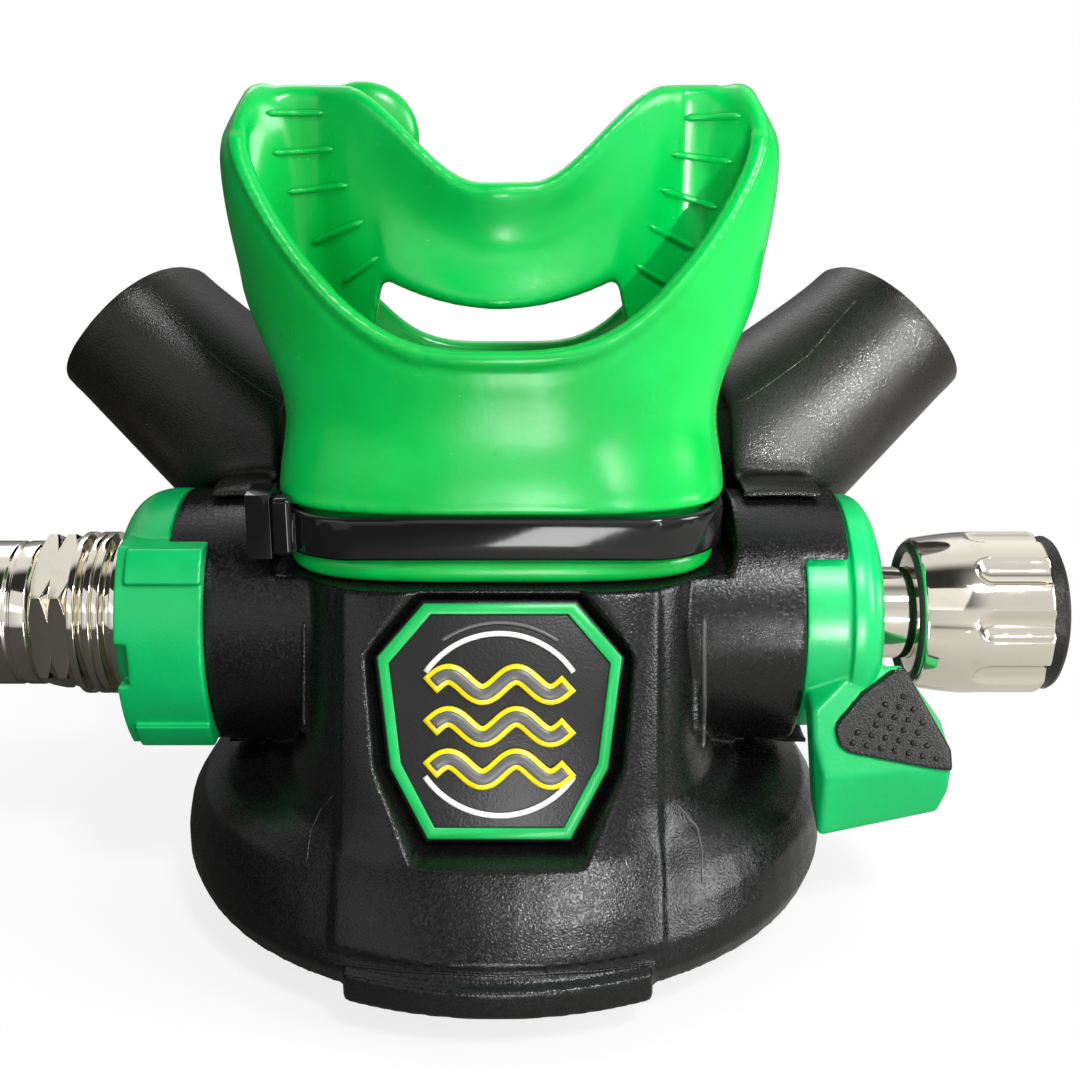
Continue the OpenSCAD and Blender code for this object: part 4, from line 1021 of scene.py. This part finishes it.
def ribbon(name, line, half, height, finish, nodes=()):
    """A flat bar with softened edges that follows a line in the badge's plane."""
    rings = []
    for i, (x, y) in enumerate(line):
        ax, ay = line[max(i - 1, 0)]
        bx, by = line[min(i + 1, len(line) - 1)]
        along = Vector((bx - ax, by - ay)).normalized()
        side = Vector((-along.y, along.x))
        rings.append([(x + side.x * s, y + side.y * s, h) for s, h in (
            (-half, 0), (-half, height - 0.1), (-half + 0.1, height), (half - 0.1, height),
            (half, height - 0.1), (half, 0))])
    badge_solid(name, rings, finish, nodes)


def border_inside(grow):
    """Inner outline of the badge's border."""
    return octagon(grow, BORDER_SCALE, BORDER_DROP)


badge_solid("badge_field", [at_height(octagon(0.4), -1.38), at_height(octagon(0.4), -0.12),
                            at_height(octagon(0), 0.02)], "badge_black", ("badge_plate",))
badge_solid("badge_border", [at_height(octagon(0), 0), at_height(octagon(0), 0.3),
                             at_height(octagon(-0.12), 0.4), at_height(border_inside(0.12), 0.4),
                             at_height(border_inside(0), 0.28), at_height(border_inside(0), 0)],
            "badge_green", ("badge_frame",), closed=True)


def wave(level, reach):
    """Points of a wave in the badge's plane, to both sides of its middle."""
    across = [seg(-reach, reach, i / 48) for i in range(49)]
    return [(x, level + WAVE_RISE * math.sin(math.radians(x * WAVE_PACE))) for x in across]


def arc(radius, low, high):
    """Points of an arc in the badge's plane, between two angles in degrees."""
    turns = [math.radians(seg(low, high, i / 36)) for i in range(37)]
    return [(radius * math.cos(a), radius * math.sin(a) - ARC_DROP) for a in turns]


for k in range(3):
    level = WAVE_Y - WAVE_STEP * k
    ribbon(f"wave_{k}", wave(level, 7.6), 1.15, 0.5, "badge_yellow",
           ("badge_motif",) if k == 0 else ())
    ribbon(f"wave_core_{k}", wave(level, 7.2), 0.62, 0.62, "badge_grey")
ribbon("arc_top", arc(9.9, 35, 145), 0.3, 0.35, "badge_white")
ribbon("arc_low", arc(9.9, 215, 325), 0.3, 0.35, "badge_white")
ribbon("arc_high", arc(11.1, 55, 125), 0.2, 0.3, "badge_grey")

# ---------------------------------------------------------------- the remaining solids

for node_name, node in frame["nodes"].items():
    if node.get("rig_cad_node") and not node.hide_render:
        coat(node, SLOT_OF[node_name])

# ---------------------------------------------------------------- floor, world and lamps

def pale_floor():
    """A floor that is plain and bright to the camera, and dimmer where pieces mirror it."""
    bm = bmesh.new()
    bmesh.ops.create_grid(bm, x_segments=1, y_segments=1, size=6,
                          matrix=Matrix.Translation((0, 0, -0.0002)))
    mesh = bpy.data.meshes.new("floor")
    bm.to_mesh(mesh)
    bm.free()
    floor = bpy.data.objects.new("floor", mesh)
    bpy.context.scene.collection.objects.link(floor)
    f = Finish("floor", Roughness=0.9, Specular_IOR_Level=0.1)
    seen = f.node("LightPath", output="Is Camera Ray")
    bounce = f.blend(f.along(f.place, "X").step(-55, 45), (0.06, 0.058, 0.055),
                     (0.5, 0.49, 0.47))
    f.set("Base Color", f.blend(seen, bounce, (0.9, 0.9, 0.9)))
    away = f.node("VectorMath", {"operation": "LENGTH"}, {0: f.place}, output=1)
    share = 0.8 + away.step(45, 140) * 0.2
    mix = f.node("MixShader", None, {0: seen * share, 1: Value(f.tree, f.shader.outputs[0]),
                                     2: f.node("Emission")})
    f.feed(f.tree.nodes["Material Output"].inputs[0], mix)
    mesh.materials.append(f.material)


def studio_sky():
    """White to the camera; to the pieces a dim dome with windows in front and overhead."""
    world = bpy.data.worlds.new("studio")
    bpy.context.scene.world = world
    world.use_nodes = True
    sky = Shading(world.node_tree)
    direction = sky.node("TexCoord", output="Generated")
    across, depth, above = [sky.along(direction, axis) for axis in "XYZ"]
    front = (0 - depth).step(-0.1, 0.5)
    high = above.step(0.35, 0.5)
    upper = high * across.step(0.02, 0.3) * 0.7
    lower = (1 - high) * above.step(-0.12, 0.1) * across.step(-0.7, 0.1) * 0.72
    overhead = depth.step(-0.15, 0.15) * above.step(0.3, 0.6) * 0.8
    behind = depth.step(0.2, 0.8) * above.step(-0.1, 0.2) * 0.25
    dome = 0.03 + front * (upper + lower) + overhead + behind
    seen = (sky.node("LightPath", output="Is Camera Ray")
            + sky.node("LightPath", output="Is Transmission Ray")).held()
    background = sky.tree.nodes["Background"]
    sky.feed(background.inputs["Strength"], seen + (1 - seen) * dome)
    sky.feed(background.inputs["Color"], (1, 1, 1, 1))


def lamp(name, kind, at, towards, power, **settings):
    """A lamp at a place, aimed at another, both in metres."""
    light = bpy.data.lights.new(name, kind)
    light.energy = power
    for setting, value in settings.items():
        setattr(light, setting, value)
    obj = bpy.data.objects.new(name, light)
    obj.location = at
    obj.rotation_euler = (Vector(towards) - Vector(at)).to_track_quat("-Z", "Y").to_euler()
    bpy.context.scene.collection.objects.link(obj)


pale_floor()
studio_sky()
for lamp_name, at, towards, width, height, power in (
        ("lamp_key", (0.2, -0.38, 0.56), (0, -0.02, 0.04), 0.1, 0.1, 2.1),
        ("lamp_card", (0.006, -0.118, 0.018), (0.006, -0.016, 0.05), 0.02, 0.056, 0.042),
        ("lamp_knob", (0.022, -0.121, 0.137), (0.053, -0.005, 0.036), 0.1, 0.09, 0.026),
        ("lamp_ferrule", (-0.106, -0.117, 0.12), (-0.057, -0.009, 0.036), 0.09, 0.08, 0.018),
        ("lamp_right", (0.5, -0.2, 0.26), (0, 0, 0.05), 0.2, 0.24, 1.7),
        ("lamp_left", (-0.4, -0.5, 0.12), (0, 0, 0.04), 0.6, 0.5, 0.4),
        ("lamp_top", (-0.12, 0.42, 0.45), (0, 0, 0.05), 0.3, 0.3, 0.6)):
    lamp(lamp_name, "AREA", at, towards, power, shape="RECTANGLE", size=width, size_y=height)
# A narrow beam that lights only the right wing of the tee
lamp("lamp_wing", "SPOT", (0.165, -0.48, 0.067), (0.048, 0.012, 0.068), 84,
     spot_size=math.radians(4.8), spot_blend=1, shadow_soft_size=0.03)
